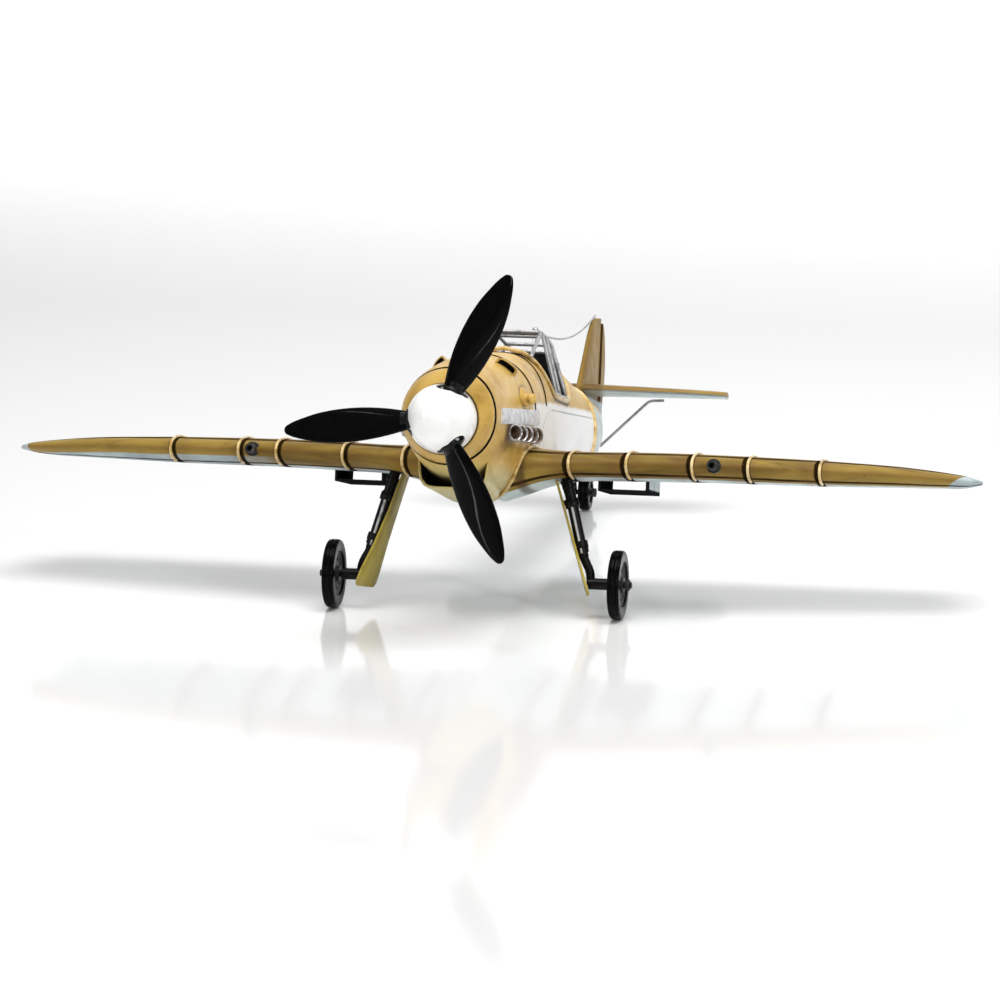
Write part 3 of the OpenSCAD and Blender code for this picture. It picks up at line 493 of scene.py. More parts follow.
def enamel_finish(s, colour, rough=(0.28, 0.46), grain=0.05, ink=None, **fixed):
    """Brushed enamel; where ink is 1 the paint is dull flux with no shine."""
    patch = s.noise(0.12, 4, 0.6)
    roughness = s.step(patch, 0.3, 0.7, rough[0], rough[1])
    ripple = s.bump(s.noise(0.20, 3, 0.5), 0.5, 0.22)
    normal = s.bump(s.noise(2.2, 2, 0.5), grain, 0.35, ripple)
    values = {"Coat_Weight": 0.06, "Coat_Roughness": 0.3, "Specular_IOR_Level": 0.32, **fixed}
    if ink is not None:
        shine = values.pop("Specular_IOR_Level")
        s.put(s.line(ink, -shine, shine), s.bsdf.inputs["Specular IOR Level"])
        values["Coat_Weight"] = 0.0
    return s.done(colour, roughness, normal, **values)


def specks(s, colour, tint, amount, scale, size):
    """Sparse rust specks."""
    dots = s.step(s.cells(scale), size, size * 0.4)
    where = s.step(s.noise(0.05, 2), 0.50, 0.62)
    return s.over(colour, s.mul(dots, where), amount, tint)


def fuselage_paint():
    """Sand enamel over a white side panel and a pale blue belly brightened by painted light, with
    seams, soot, edges and painted shade.
    """
    s = Shader("fuselage_paint")
    x, y, z = s.axes()
    side = s.size(x)
    wobble = s.wobble(0.16, 3, 2.2)
    colour = tan_base(s, (1, 0.5, 1))
    # olive tint under the chin, pale blue belly behind the wing's leading edge, brightened as
    # painted light
    chin = s.step(s.add(z, s.mul(wobble, 1.5)), -14, -25)
    colour = s.over(colour, chin, 0.75, OLIVE)
    border = s.table(y, WHITE_TOP, -30, 30)
    high = s.sub(s.add(z, wobble), border)
    white = s.mul(s.step(high, 1.6, -0.6), s.step(y, 98, 101))
    shade = s.ramp(s.noise(0.05, 3, 0.5, (1, 0.4, 1)),
                   [(0.30, (0.80, 0.81, 0.82)), (0.5, (0.93, 0.93, 0.93))])
    colour = s.blend(white, colour, shade)
    belly = s.mul(s.step(s.add(z, wobble), -11, -15), s.step(y, 108, 122))
    colour = s.blend(belly, colour, LIT_BELLY_BLUE)
    # thin grey outline of the side panel
    line = s.size(s.add(s.sub(z, border), 2.6))
    outline = s.mul(s.step(line, 0.42, 0.16), s.band(y, 149, 284, 2))
    front = s.size(s.sub(y, s.table(z, WHITE_FRONT, 110, 160)))
    outline = s.most(outline, s.mul(s.step(front, 0.6, 0.25), s.band(z, -6, 13.2, 0.4)))
    colour = s.over(colour, outline, 0.7, (0.10, 0.11, 0.12))
    # seams and the darkened metal beside them
    for rows, low in SEAM_TABLES:
        off = s.size(s.sub(y, s.table(z, rows, 60, 140)))
        halo = s.mul(s.step(off, 5, 0.6), s.step(z, low - 1, low + 4))
        colour = s.over(colour, halo, 0.45, TAN_DEEP)
    rim = s.step(y, 15.1, 14.8)
    colour = s.blend(rim, colour, FLUX)
    # painted shade round the blister's base
    along, upward = s.math("DIVIDE", s.sub(y, 81), 12.6), s.math("DIVIDE", s.sub(z, 15), 5.6)
    ring = s.math("POWER", s.add(s.math("POWER", along, 2), s.math("POWER", upward, 2)), 0.5)
    halo = s.mul(s.step(s.size(s.sub(ring, 0.96)), 0.20, 0.0), s.step(side, 15, 17))
    colour = s.over(colour, halo, 0.6, UMBER)
    # flux left under the cockpit lip
    under_lip = s.sub(s.table(y, LIP_TABLE, 0, 60), z)
    lip = s.mul(s.band(s.add(under_lip, s.mul(wobble, 0.3)), 0.4, 2.0, 0.4),
                s.band(y, 138, 227, 0.6))
    colour = s.over(colour, lip, 0.85, (0.02, 0.010, 0.005))
    # soot round the exhausts, and a painted shadow just ahead of them
    soot = s.mul(s.band(y, 36, 112, 7), s.band(z, -10.5, 2.6, 3.4))
    soot = s.mul(soot, s.step(side, 15, 19))
    soot = s.mul(soot, s.step(s.noise(0.16, 4, 0.7, (1, 0.6, 1)), 0.36, 0.56, 0.35, 1.0))
    # painted shadow just ahead of the first exhaust stub
    front_shadow = s.mul(s.band(y, 35, 52, 3), s.band(z, -8, 1.5, 2))
    # soot from here on also holds the painted shadow
    soot = s.most(s.mul(soot, s.step(y, 70, 44, 0.25, 0.9)),
                  s.mul(front_shadow, s.step(side, 15, 19)))
    colour = s.over(colour, soot, 0.85, UMBER)
    colour = specks(s, colour, (0.20, 0.07, 0.02), 0.7, 0.22, 0.10)
    return enamel_finish(s, colour, ink=rim)


def bowl_paint():
    s = Shader("bowl_paint")
    _, y, z = s.axes()
    colour = tan_base(s)
    edge = s.most(s.step(y, 12.2, 12.6), s.step(y, 2.3, 1.7))
    colour = s.over(colour, edge, 0.97, FLUX)
    # painted shade: the bowl darkens towards its bottom
    low = s.step(z, -6, -22)
    colour = s.over(colour, low, 0.35, TAN_DEEP)
    return enamel_finish(s, colour, (0.22, 0.38), ink=edge)


def tail_paint():
    """Pale blue-grey tail cone with dark edges, sand on its upper side."""
    s = Shader("tail_paint")
    _, y, z = s.axes()
    wobble = s.wobble(0.12, 3, 6)
    colour = s.ramp(s.noise(0.07, 3), [(0.35, (0.40, 0.47, 0.48)), (0.62, (0.62, 0.68, 0.68))])
    top = s.step(s.add(z, wobble), 22, 28)
    colour = s.blend(top, colour, tan_base(s, (1, 0.6, 1)))
    edge = s.most(s.step(y, TAIL_Y + 2.4, TAIL_Y + 0.8), s.step(y, 395, 397.5))
    colour = s.over(colour, edge, 0.8, UMBER)
    return enamel_finish(s, colour)


def plain_tan(name, dirt_and_shade):
    s = Shader(name)
    grime = s.step(s.noise(0.18, 4, 0.65), 0.5, 0.72)
    return enamel_finish(s, s.over(tan_base(s), grime, dirt_and_shade, UMBER))


def wing_paint(name, side, ribs, root):
    """Sand above, pale blue below, dark lines along the nose and beside each rib wire; the sand and
    the blue at the tips are darkened as painted shade.
    """
    s = Shader(name)
    x, y, z = s.axes()
    span = s.mul(x, side)
    wobble = s.sub(s.noise(0.10, 3, 0.55, (0.4, 1, 1)), 0.5)
    middle = s.table(span,
                     [(16, -17.4), (28, -15), (42, -13.7), (75, -12.6), (100, -12.1), (142, -12),
                      (187, -12.1), (205, -12.6), (217, -13.1), (225, -13.5)], -20, -10)
    up = s.sub(z, middle)
    behind = s.sub(y, s.line(span, SWEEP, WING_Y))
    # painted shade: this sand is far darker than TAN, for wing faces that look forward and down
    clouds = s.noise(0.05, 4, 0.55, (0.12, 1, 1))
    colour = s.ramp(clouds,
                    [(0.32, (0.12, 0.068, 0.010)), (0.45, (0.235, 0.150, 0.026)),
                     (0.58, (0.34, 0.225, 0.045)), (0.70, (0.20, 0.125, 0.022))])
    # brown brush streak along the nose
    streak = s.mul(s.band(s.add(up, s.mul(wobble, 3)), -1.4, 1.4, 1.3), s.step(behind, 14, 6))
    colour = s.over(colour, streak, 0.50, (0.16, 0.085, 0.022))
    grime = s.step(s.noise(0.12, 5, 0.68, (0.25, 1, 1)), 0.54, 0.74)
    colour = s.over(colour, grime, 0.5, UMBER)
    # upper dark line, lower dark line, pale blue underside
    top = s.mul(s.band(s.add(behind, s.mul(wobble, 4)), 6.5, 11.5, 0.8), s.step(up, 0, 1))
    colour = s.over(colour, top, 0.88, (0.02, 0.011, 0.005))
    below = s.step(up, 0, -1)
    low = s.add(behind, s.mul(wobble, 2.2))
    blue = s.mul(s.step(low, 12.6, 14.4), below)
    if side < 0:
        nose_blue = s.mul(s.step(s.add(up, s.mul(wobble, 1.2)), -2.7, -3.3), s.step(span, 88, 120))
    clipped = s.add(span, s.mul(up, -1.5 if side > 0 else -0.3))
    tip = s.step(clipped, *((214.2, 214.8) if side > 0 else (219.8, 220.5)))
    if side < 0:
        tip = s.most(tip, nose_blue)
    # the second, darker blue in this loop is painted shade on the pale blue underside, at the tips
    # and the starboard nose
    for mask, scale, tones in ((blue, 0.06, ((0.52, 0.62, 0.63), (0.74, 0.82, 0.82))),
                               (tip, 0.09, ((0.30, 0.36, 0.37), (0.46, 0.53, 0.54)))):
        colour = s.blend(mask, colour, s.ramp(s.noise(scale, 3), list(zip((0.35, 0.62), tones))))
    under = s.mul(s.band(low, *((5.4, 8.8) if side > 0 else (11.5, 15)), 0.5), below)
    colour = s.over(colour, under, 0.93, (0.016, 0.009, 0.004))
    ink = s.most(top, under)
    # soldered ribs: dark flux on the inboard side
    for r in ribs:
        off = s.sub(span, r)
        dark = s.band(s.add(off, s.mul(wobble, 1.6)), -2.6, 1.0, 0.35)
        halo = s.band(off, -9, 3.4, 3.2)
        colour = s.over(colour, halo, 0.30, (0.15, 0.075, 0.02))
        colour = s.over(colour, dark, 0.95, (0.008, 0.004, 0.002))
        ink = s.most(ink, dark)
    trail = s.step(s.sub(y, s.line(span, TRAIL_SWEEP, TRAIL_Y)), -2.6, -0.6)
    colour = s.over(colour, trail, 0.7, UMBER)
    if root:
        seam = s.step(s.size(s.sub(span, 21)), 3.4, 0.8)
        colour = s.over(colour, seam, 0.75, UMBER)
    colour = specks(s, colour, (0.24, 0.06, 0.02), 0.85, 0.16, 0.10)
    return enamel_finish(s, colour, (0.42, 0.60), ink=ink, Specular_IOR_Level=0.12)


def rib_wire_paint(name, light=1.0):
    s = Shader(name)
    colour = s.ramp(s.noise(0.16, 4, 0.6),
                    [(0.34, TAN_DEEP), (0.46, (0.62, 0.42, 0.15)),
                     (0.60, (0.80 * light, 0.62 * light, 0.32 * light))])
    fine = s.step(s.noise(0.7, 3), 0.58, 0.74)
    colour = s.over(colour, fine, 0.35, UMBER)
    return enamel_finish(s, colour, (0.22, 0.40), 0.08)


def fin_paint():
    """Fin and rudder: sand with a dark hinge seam, darker leading edge, dark foot."""
    s = Shader("fin_paint")
    _, y, z = s.axes()
    # painted shade: tone 0.60 makes the fin a darker copy of the fuselage's sand
    colour = tan_base(s, (1, 1, 0.3), 0.60)
    front = s.step(s.sub(y, s.line(z, 0.83, 314)), 14, 3)
    colour = s.over(colour, front, 0.45, (0.16, 0.085, 0.018))
    seam = s.step(s.size(s.sub(y, HINGE_Y + 0.4)), 0.9, 0.5)
    colour = s.over(colour, seam, 0.93, (0.03, 0.015, 0.007))
    halo = s.step(s.sub(HINGE_Y, y), 8, 0.5)
    colour = s.over(colour, s.mul(halo, s.step(y, HINGE_Y + 1, HINGE_Y - 1)), 0.35, TAN_DEEP)
    foot = s.step(z, 37.5, 34.5)
    colour = s.over(colour, foot, 0.75, UMBER)
    colour = s.blend(s.step(z, 33.6, 31.8), colour, (0.50, 0.58, 0.58))
    return enamel_finish(s, colour, Coat_Weight=0.0, Specular_IOR_Level=0.06)


def tailplane_paint():
    s = Shader("tailplane_paint")
    x, _, z = s.axes()
    side = s.size(x)
    # painted shade: tone 0.55 makes the tailplane a darker copy of the fuselage's sand
    colour = tan_base(s, (0.3, 1, 1), 0.55)
    low = s.step(z, 36.4, 35.6)
    blue = s.ramp(s.noise(0.06, 3), [(0.35, (0.42, 0.50, 0.51)), (0.62, (0.62, 0.70, 0.70))])
    colour = s.blend(low, colour, blue)
    edge = s.mul(s.band(z, 35.3, 36.1, 0.25), 0.55)
    colour = s.blend(edge, colour, UMBER)
    root = s.step(side, 13, 9.5)
    colour = s.over(colour, root, 0.55, UMBER)
    return enamel_finish(s, colour, Coat_Weight=0.0, Specular_IOR_Level=0.18)


def white_enamel():
    s = Shader("white_enamel")
    _, y, _ = s.axes()
    colour = s.ramp(s.noise(0.09, 3), [(0.3, (0.88, 0.87, 0.83)), (0.6, (0.94, 0.94, 0.93))])
    grime = s.mul(s.step(y, -2.0, -0.2), s.step(s.noise(0.25, 4), 0.42, 0.62))
    colour = s.over(colour, grime, 0.35, (0.42, 0.36, 0.22))
    return s.done(colour, s.step(s.noise(0.2, 3), 0.3, 0.7, 0.12, 0.24),
                  s.bump(s.noise(1.2, 2), 0.03, 0.3), Coat_Weight=0.5, Coat_Roughness=0.06)


def gloss_black():
    s = Shader("gloss_black")
    colour = s.ramp(s.noise(0.3, 3),
                    [(0.3, (0.0006, 0.0006, 0.0008)), (0.7, (0.0016, 0.0016, 0.002))])
    normal = s.bump(s.noise(0.14, 3, 0.5), 0.12, 0.25)
    return s.done(colour, s.step(s.noise(0.3, 4), 0.35, 0.7, 0.03, 0.07), normal,
                  Specular_IOR_Level=0.075)


def satin_black(name, worn, tone, rough):
    """Black lacquer with rubbed grey patches."""
    s = Shader(name)
    rub = s.step(s.noise(0.35, 5, 0.7), 0.60, 0.72)
    colour = s.ramp(s.noise(0.3, 4), [(0.3, tone * 0.6), (0.7, tone * 1.6)])
    colour = s.blend(s.mul(rub, worn), colour, (0.30, 0.28, 0.25))
    normal = s.bump(s.noise(0.9, 3, 0.5), 0.08, 0.3)
    return s.done(colour, s.step(s.noise(0.6, 3), 0.3, 0.7, *rough), normal,
                  Specular_IOR_Level=0.16)


def rubber():
    s = Shader("rubber")
    dust = s.step(s.noise(0.30, 4, 0.65), 0.50, 0.75)
    colour = s.blend(s.mul(dust, 0.025), (0.0012, 0.0012, 0.0014), (0.16, 0.155, 0.145))
    return s.done(colour, s.step(dust, 0, 1, 0.18, 0.34), s.bump(s.noise(1.2, 3), 0.06, 0.4),
                  Specular_IOR_Level=0.06)


def wheel_iron():
    s = Shader("wheel_iron")
    rub = s.step(s.noise(0.22, 5, 0.7), 0.42, 0.66)
    colour = s.blend(rub, (0.006, 0.006, 0.007), (0.05, 0.051, 0.053))
    return s.done(colour, s.step(rub, 0, 1, 0.5, 0.34), s.bump(s.noise(1.3, 4), 0.10, 0.5),
                  s.mul(rub, 0.7))


def seam_line():
    """Flux-darkened seam with a little of the sand paint left on it."""
    s = Shader("seam_line_paint")
    colour = s.blend(s.step(s.noise(0.35, 4, 0.65), 0.50, 0.72), FLUX, (0.05, 0.027, 0.010))
    return s.done(colour, s.step(s.noise(0.6, 3), 0.3, 0.7, 0.45, 0.7),
                  s.bump(s.noise(1.2, 3), 0.08, 0.4), Specular_IOR_Level=0.06)


def bright_wire(name, tone, solder):
    """Tinned steel wire: bright with grey solder blotches and a faintly bumpy surface."""
    s = Shader(name)
    blot = s.step(s.noise(0.22, 3, 0.55), 0.46, 0.66)
    colour = s.blend(s.mul(blot, solder), (tone, tone, tone * 1.01),
                     (tone * 0.35, tone * 0.35, tone * 0.36))
    return s.done(colour, s.step(blot, 0, 1, 0.34, 0.5), s.bump(s.noise(0.35, 2, 0.4), 0.02, 0.2),
                  0.55)


def silver_shield():
    s = Shader("silver_shield")
    blot = s.step(s.noise(0.22, 5, 0.6), 0.40, 0.66)
    colour = s.blend(blot, (0.80, 0.80, 0.82), (0.52, 0.52, 0.54))
    dents = s.cells(0.42, "SMOOTH_F1")
    colour = s.blend(s.step(dents, 0.35, 0.05, 0, 0.35), colour, (0.30, 0.30, 0.31))
    normal = s.bump(s.noise(0.9, 4), 0.25, 0.5, s.bump(dents, 0.7, 0.6))
    return s.done(colour, 0.42, normal, 0.35)


def burnt_silver():
    """Exhaust stubs: silver with burnt brown blotches."""
    s = Shader("burnt_silver")
    blot = s.step(s.noise(0.35, 5, 0.65), 0.42, 0.62)
    colour = s.blend(blot, (0.66, 0.66, 0.67), (0.22, 0.20, 0.18))
    return s.done(colour, s.step(blot, 0, 1, 0.28, 0.5), s.bump(s.noise(1.2, 4), 0.2, 0.5), 0.7)


def burnt_inside():
    s = Shader("burnt_inside")
    colour = s.ramp(s.noise(0.35, 4, 0.6),
                    [(0.35, (0.045, 0.026, 0.016)), (0.5, (0.20, 0.13, 0.085)),
                     (0.66, (0.34, 0.26, 0.20))])
    return s.done(colour, 0.75, s.bump(s.noise(1.6, 4), 0.3, 0.6))


def radiator_paint():
    """Pale blue on the port radiator's outboard side; its floor, front edges and inside are black,
    and the starboard radiator is black all over.
    """
    s = Shader("radiator_paint")
    x, y, z = s.axes()
    colour = s.ramp(s.noise(0.09, 4), [(0.34, (0.36, 0.43, 0.44)), (0.60, (0.62, 0.69, 0.69))])
    wobble = s.wobble(0.3, 4, 1.2)
    dark = s.most(s.step(s.add(z, wobble), -22.0, -22.7), s.step(s.add(y, wobble), 121.6, 120.4))
    dark = s.most(dark, s.step(x, 73.65, 73.45))
    colour = s.over(colour, dark, 0.98, (0.006, 0.006, 0.007))
    return enamel_finish(s, colour, ink=dark)


def door_paint():
    s = Shader("door_paint")
    colour = s.ramp(s.noise(0.06, 4, 0.6, (1, 1, 0.4)),
                    [(0.34, (0.23, 0.175, 0.022)), (0.5, (0.38, 0.29, 0.042)),
                     (0.68, (0.47, 0.38, 0.068))])
    grime = s.step(s.noise(0.25, 5, 0.7), 0.56, 0.72)
    colour = s.over(colour, grime, 0.5, UMBER)
    return enamel_finish(s, colour)


def old_leather():
    s = Shader("old_leather")
    crease = s.cells(0.9, "SMOOTH_F1")
    colour = s.ramp(s.noise(0.25, 4), [(0.3, (0.055, 0.026, 0.012)), (0.65, (0.17, 0.085, 0.04))])
    return s.done(colour, s.step(crease, 0.1, 0.5, 0.62, 0.42), s.bump(crease, 0.12, 0.7))


def turned_brass():
    s = Shader("turned_brass")
    colour = s.ramp(s.noise(0.3, 4), [(0.3, (0.42, 0.27, 0.08)), (0.7, (0.72, 0.52, 0.22))])
    return s.done(colour, 0.3, s.bump(s.noise(1.0, 3, 0.5, (1, 6, 1)), 0.05, 0.5), 0.95)


MAT = {
    "fuselage": fuselage_paint(), "bowl": bowl_paint(), "tail": tail_paint(),
    # tan_dark has heavy grime, which on the blister domes is partly painted shade
    "tan": plain_tan("plain_tan_paint", 0.15), "tan_dark": plain_tan("lip_paint", 0.6),
    "rib": rib_wire_paint("rib_wire_paint"), "fin": fin_paint(), "tailplane": tailplane_paint(),
    "white": white_enamel(), "blade": gloss_black(),
    "black": satin_black("satin_black", 0.05, 0.003, (0.30, 0.45)),
    "iron": satin_black("worn_iron", 0.45, 0.03, (0.35, 0.55)),
    # void: near black for hollows and gaps, as painted shade in the nose former's gap, the hood
    # slots and the scoop and spinner linings
    "void": satin_black("hollow_shade_black", 0.0, 0.002, (0.7, 0.9)),
    "rubber": rubber(), "wheel": wheel_iron(), "wire": bright_wire("bright_wire", 0.50, 0.6),
    "aerial": bright_wire("aerial_wire_metal", 0.42, 0.5),
    "shield": silver_shield(), "stub": burnt_silver(), "burnt": burnt_inside(),
    "leather": old_leather(), "brass": turned_brass(), "seam": seam_line(),
    "lip": rib_wire_paint("cockpit_lip_paint", 0.8),
    "fillet": rib_wire_paint("fillet_wire_paint", 0.8),
    "brace": bright_wire("brace_wire_metal", 0.42, 0.5), "radiator": radiator_paint(),
    "door": door_paint(),
}
RIBS_PORT = [42.5, 68, 97.1, 121.9, 153.7]
RIBS_STARBOARD = [33.6, 62.8, 95.3, 114, 147.6]
MAT["wing_port"] = wing_paint("wing_paint_port", 1, RIBS_PORT, False)
MAT["wing_starboard"] = wing_paint("wing_paint_starboard", -1, RIBS_STARBOARD, False)
MAT["root_port"] = wing_paint("root_paint_port", 1, RIBS_PORT[:1], True)
MAT["root_starboard"] = wing_paint("root_paint_starboard", -1, RIBS_STARBOARD[:1], True)

# every CAD node starts with the right material; look: nodes
NODES_OF = {
    # the nose former takes the near black as painted shade in the gap behind the bowl
    "bowl": "nose_bowl", "void": "nose_former", "brass": "shaft_bushing", "tail": "tail_cone",
    "fuselage": "engine_cowl cockpit_section rear_fuselage chin_scoop",
    "rib": "tail_joint_band cockpit_coaming rib_wires_port rib_wires_starboard root_fillet_wires",
    "tan": "gun_troughs cowl_blisters", "tan_dark": "cowl_seams", "shield": "exhaust_shields",
    "stub": "exhaust_stubs", "aerial": "aerial_wire", "leather": "pilot_seat",
    "wire": "windscreen_frame canopy_hoops canopy_rails aerial_mast wing_spar tailplane_braces "
            "gear_pistons propeller_shaft shaft_collar",
    "black": "cockpit_floor instrument_panel rear_bulkhead gear_legs gear_brackets main_axles "
             "tail_wheel_leg",
    "iron": "control_stick wing_guns propeller_hub axle_nuts",
    "root_port": "wing_root_port", "root_starboard": "wing_root_starboard",
    "wing_port": "wing_port", "wing_starboard": "wing_starboard",
    "radiator": "radiator_port radiator_starboard", "fin": "fin rudder", "tailplane": "tailplane",
    "door": "gear_doors", "blade": "propeller_blades", "white": "spinner spinner_backplate",
    "rubber": "tyre_port tyre_starboard tail_tyre", "wheel": "hub_port hub_starboard tail_hub",
}
CAD_LOOK = {node: look for look, nodes in NODES_OF.items() for node in nodes.split()}
for node, look in CAD_LOOK.items():
    obj = NODES[node]
    for slot in obj.material_slots:
        slot.material = MAT[look]
    if not obj.material_slots:
        obj.data.materials.append(MAT[look])

# ---------------------------------------------------------------- fuselage

BODY = [  # y, half width, top, bottom, squareness
    (1.6, 15.9, 15.9, -15.9, 2), (7, 19.4, 20.4, -18.2, 2), (13, 21.2, 23.4, -19.2, 2.05),
    (30, 22.0, 27.6, -23.8, 2.15), (60, 22.6, 32.2, -28.6, 2.3), (100, 22.8, 36.2, -31, 2.4),
    (139, 22.4, 39, -28.4, 2.4), (180, 21.6, 40, -23.6, 2.4), (228, 20.4, 39.4, -17.8, 2.3),
    (262, 19.6, 36.4, -14.4, 2.2), (290, 18.6, 33.6, -12, 2.15), (320, 16.2, 32.4, -8, 2.1),
    (352, 12.3, 31.8, -2.6, 2.05), (376, 8.3, 31.2, 2.4, 2), (398, 4.4, 30.4, 8.4, 2),
]


def middle_z(y):
    return (curve(BODY, y, 2) + curve(BODY, y, 3)) / 2


def half_h(y):
    return (curve(BODY, y, 2) - curve(BODY, y, 3)) / 2


def side_x(y, z):
    u, n = clamp01(abs(z - middle_z(y)) / half_h(y)), curve(BODY, y, 4)
    return curve(BODY, y, 1) * (1 - u**n) ** (1 / n)


def skin_point(y, deg, inset=0.0):
    a, e = radians(deg), 2 / curve(BODY, y, 4)
    return ((curve(BODY, y, 1) - inset) * spow(cos(a), e), y, middle_z(y)
            + (half_h(y) - inset) * spow(sin(a), e))


def hoop(y, inset):
    """Ring of 120 points round the fuselage at y."""
    return [skin_point(y, 3 * j, inset) for j in range(120)]


def barrel(ys, proud=None, thick=SHEET):
    """Sheet-metal tube through the stations ys; proud(y) lifts its outside."""
    lift = proud or (lambda y: 0)
    return Shape().skin([hoop(y, -lift(y)) for y in ys], [hoop(y, thick) for y in ys])


ROLL = 1.2  # how far a rolled edge reaches


def rolled(a, b, depth):
    """Height of an outside whose two ends a and b are rolled in."""
    return lambda y: -depth * (1 - min(1.0, min(y - a, b - y) / ROLL)) ** 2


def stations(a, b, n):
    return sorted({round(y, 4)
                   for y in [*steps(a, a + ROLL, 4), *steps(a + ROLL, b - ROLL, n),
                             *steps(b - ROLL, b, 4)]})


barrel(stations(1.6, 13, 16), rolled(1.6, 13, 0.5)).piece(
    "nose_bowl_skin", "bowl", ["nose_bowl"])
barrel(stations(COWL_Y, COCKPIT_Y, 46), rolled(COWL_Y, 200, 0.5)).piece(
    "engine_cowl_skin", "fuselage", ["engine_cowl"])
barrel(stations(DECK_Y, TAIL_Y, 26), rolled(100, TAIL_Y, 0.4)).piece(
    "rear_fuselage_skin", "fuselage", ["rear_fuselage"])
barrel(stations(TAIL_Y + 1.2, 398, 44), rolled(TAIL_Y + 1.2, 398, 0.3)).piece(
    "tail_cone_skin", "tail", ["tail_cone"])


def ring_height(y):
    """Outside of the half-round wire over the joint before the tail cone."""
    return 0.15 + 1.2 * sqrt(max(0, 1 - ((y - TAIL_Y - 0.6) / 1.25) ** 2))


barrel(steps(TAIL_Y - 0.6, TAIL_Y + 1.8, 10), ring_height, 0.4).piece(
    "tail_ring_wire", "rib", ["tail_joint_band"])


def edge_z(y):
    """Height of the cockpit opening's edge."""
    if y < 180:
        return mix(38.6, 20.4, ease((y - COCKPIT_Y) / 22))
    return mix(20.4, 38.9, ease((y - 200) / (DECK_Y - 200)))


def edge_angle(y):
    return degrees(asin(clamp01((edge_z(y) - middle_z(y)) / half_h(y)) ** (curve(BODY, y, 4) / 2)))


def open_hoop(y, inset):
    a = edge_angle(y)
    return [skin_point(y, b, inset) for b in steps(-180 - a, a, 100)]


ys = [*steps(COCKPIT_Y, 163, 30), *steps(166, 199, 11), *steps(201, DECK_Y, 30)]
Shape().skin([open_hoop(y, 0) for y in ys], [open_hoop(y, SHEET) for y in ys], wrap=False).piece(
    "cockpit_skin", "fuselage", ["cockpit_section"])


def seam_ring(seam, along, inset):
    y, low, sweep = seam
    return [skin_point(y + along - sweep * sin(radians(a)) ** 3, a, inset)
            for a in steps(low, 180 - low, 96)]


SEAM_W, SEAM_PROUD = 1.5, 0.42
seams = Shape()
for seam in SEAM_LINES:
    ks = steps(0, SEAM_W, 6)
    seams.skin([seam_ring(seam, k, -SEAM_PROUD * sin(pi * clamp01(0.08 + 0.84 * k / SEAM_W)))
                for k in ks], [seam_ring(seam, k, 0.3) for k in ks], wrap=False)
seams.piece("cowl_seam_lines", "seam", ["cowl_seams"])


def lip_point(y):
    z = edge_z(y)
    return (side_x(y, z) + 0.2, y, z + 0.3 + 1.8 * (1 - ease((y - COCKPIT_Y) / 16)))


half_lip = [(x, COCKPIT_Y - 0.6, 41.2 - 0.03 * x * x) for x in (0, 4, 8)]
half_lip += map(lip_point,
                (140.5, 143, 146, 149, 152, 156, 161, 170, 180, 190, 199, 205, 211, 216, 221, 225))
half_lip += [(x, DECK_Y - 0.6, 40 - 0.03 * x * x) for x in (9, 4.5, 0)]
lip_path = smooth_path(half_lip, 6)
for _ in range(40):  # averages the corners away
    inner = [(a + 2 * b + c) / 4 for a, b, c in zip(lip_path, lip_path[1:], lip_path[2:])]
    lip_path = [lip_path[0], *inner, lip_path[-1]]
LIP_R = 1.05
Shape().tube(lip_path, LIP_R, 18, (0, -1, 0.2)).mirrored().piece(
    "cockpit_lip", "lip", ["cockpit_coaming"])

# ---------------------------------------------------------------- cowl details


def out_from(y, deg, h):
    """Point h outside the fuselage skin."""
    x, y, z = skin_point(y, deg)
    a = radians(deg)
    return (x + h * cos(a), y, z + h * sin(a))


def paint_faces(obj, look, wanted):
    """Gives the faces whose number passes wanted a second material."""
    obj.data.materials.append(MAT[look])
    for p in obj.data.polygons:
        if wanted(p.index):
            p.material_index = len(obj.data.materials) - 1


# from the top down: y and angle where the hood starts, y and angle where it ends, height
HOODS = [(59, 63.5, 71.5, 41.5, 3.2), (61.8, 63.1, 73.8, 42.2, 3.05), (64.5, 62.5, 76, 43, 2.8),
         (67.8, 61.6, 78.3, 44, 2.4), (71, 60.5, 80.5, 45, 1.9), (74.5, 59.3, 83, 46, 1.1),
         (78, 58, 85, 47, 0.4)]

HOOD_OUTLINE = [(-0.02, -1.6), (0, 0.2), (0.02, 0.62), (0.07, 0.88), (0.15, 0.985), (0.3, 1.02),
                (0.5, 1.03), (0.7, 1.02), (0.85, 0.985), (0.93, 0.88), (0.98, 0.62), (1, 0.2),
                (1.02, -1.6), (0.5, -1.6)]


def hood_ring(h, back=0.0, shrink=0.0):
    ring = []
    for u, v in HOOD_OUTLINE:
        if shrink:
            u = 0.5 + (u - 0.5) * (1 - 2.1 * shrink)
            v = 0.5 + (max(v, -0.05) - 0.5) * (1 - 3.6 * shrink)
        y, a = mix(h[0], h[2], u), mix(h[1], h[3], u)
        ring.append(out_from(y + back, a, v if v < -1 else v * h[4]))
    return ring


hoods = Shape()
rings = [hood_ring(h) for h in reversed(HOODS)]
rings += [hood_ring(HOODS[0], *b) for b in ((-0.25, 0.03), (-0.1, 0.10), (0.4, 0.12), (4.0, 0.14))]
hoods.loft(rings)
slot_start = (len(rings) - 3) * len(HOOD_OUTLINE)
one_side = len(hoods.f)
hoods.mirrored()
# the hood slots' inner faces take the near black as painted shade
paint_faces(hoods.piece("gun_hood_shells", "tan", ["gun_troughs"], sharp=50), "void",
            lambda i: i % one_side >= slot_start and i % one_side != one_side - 2)

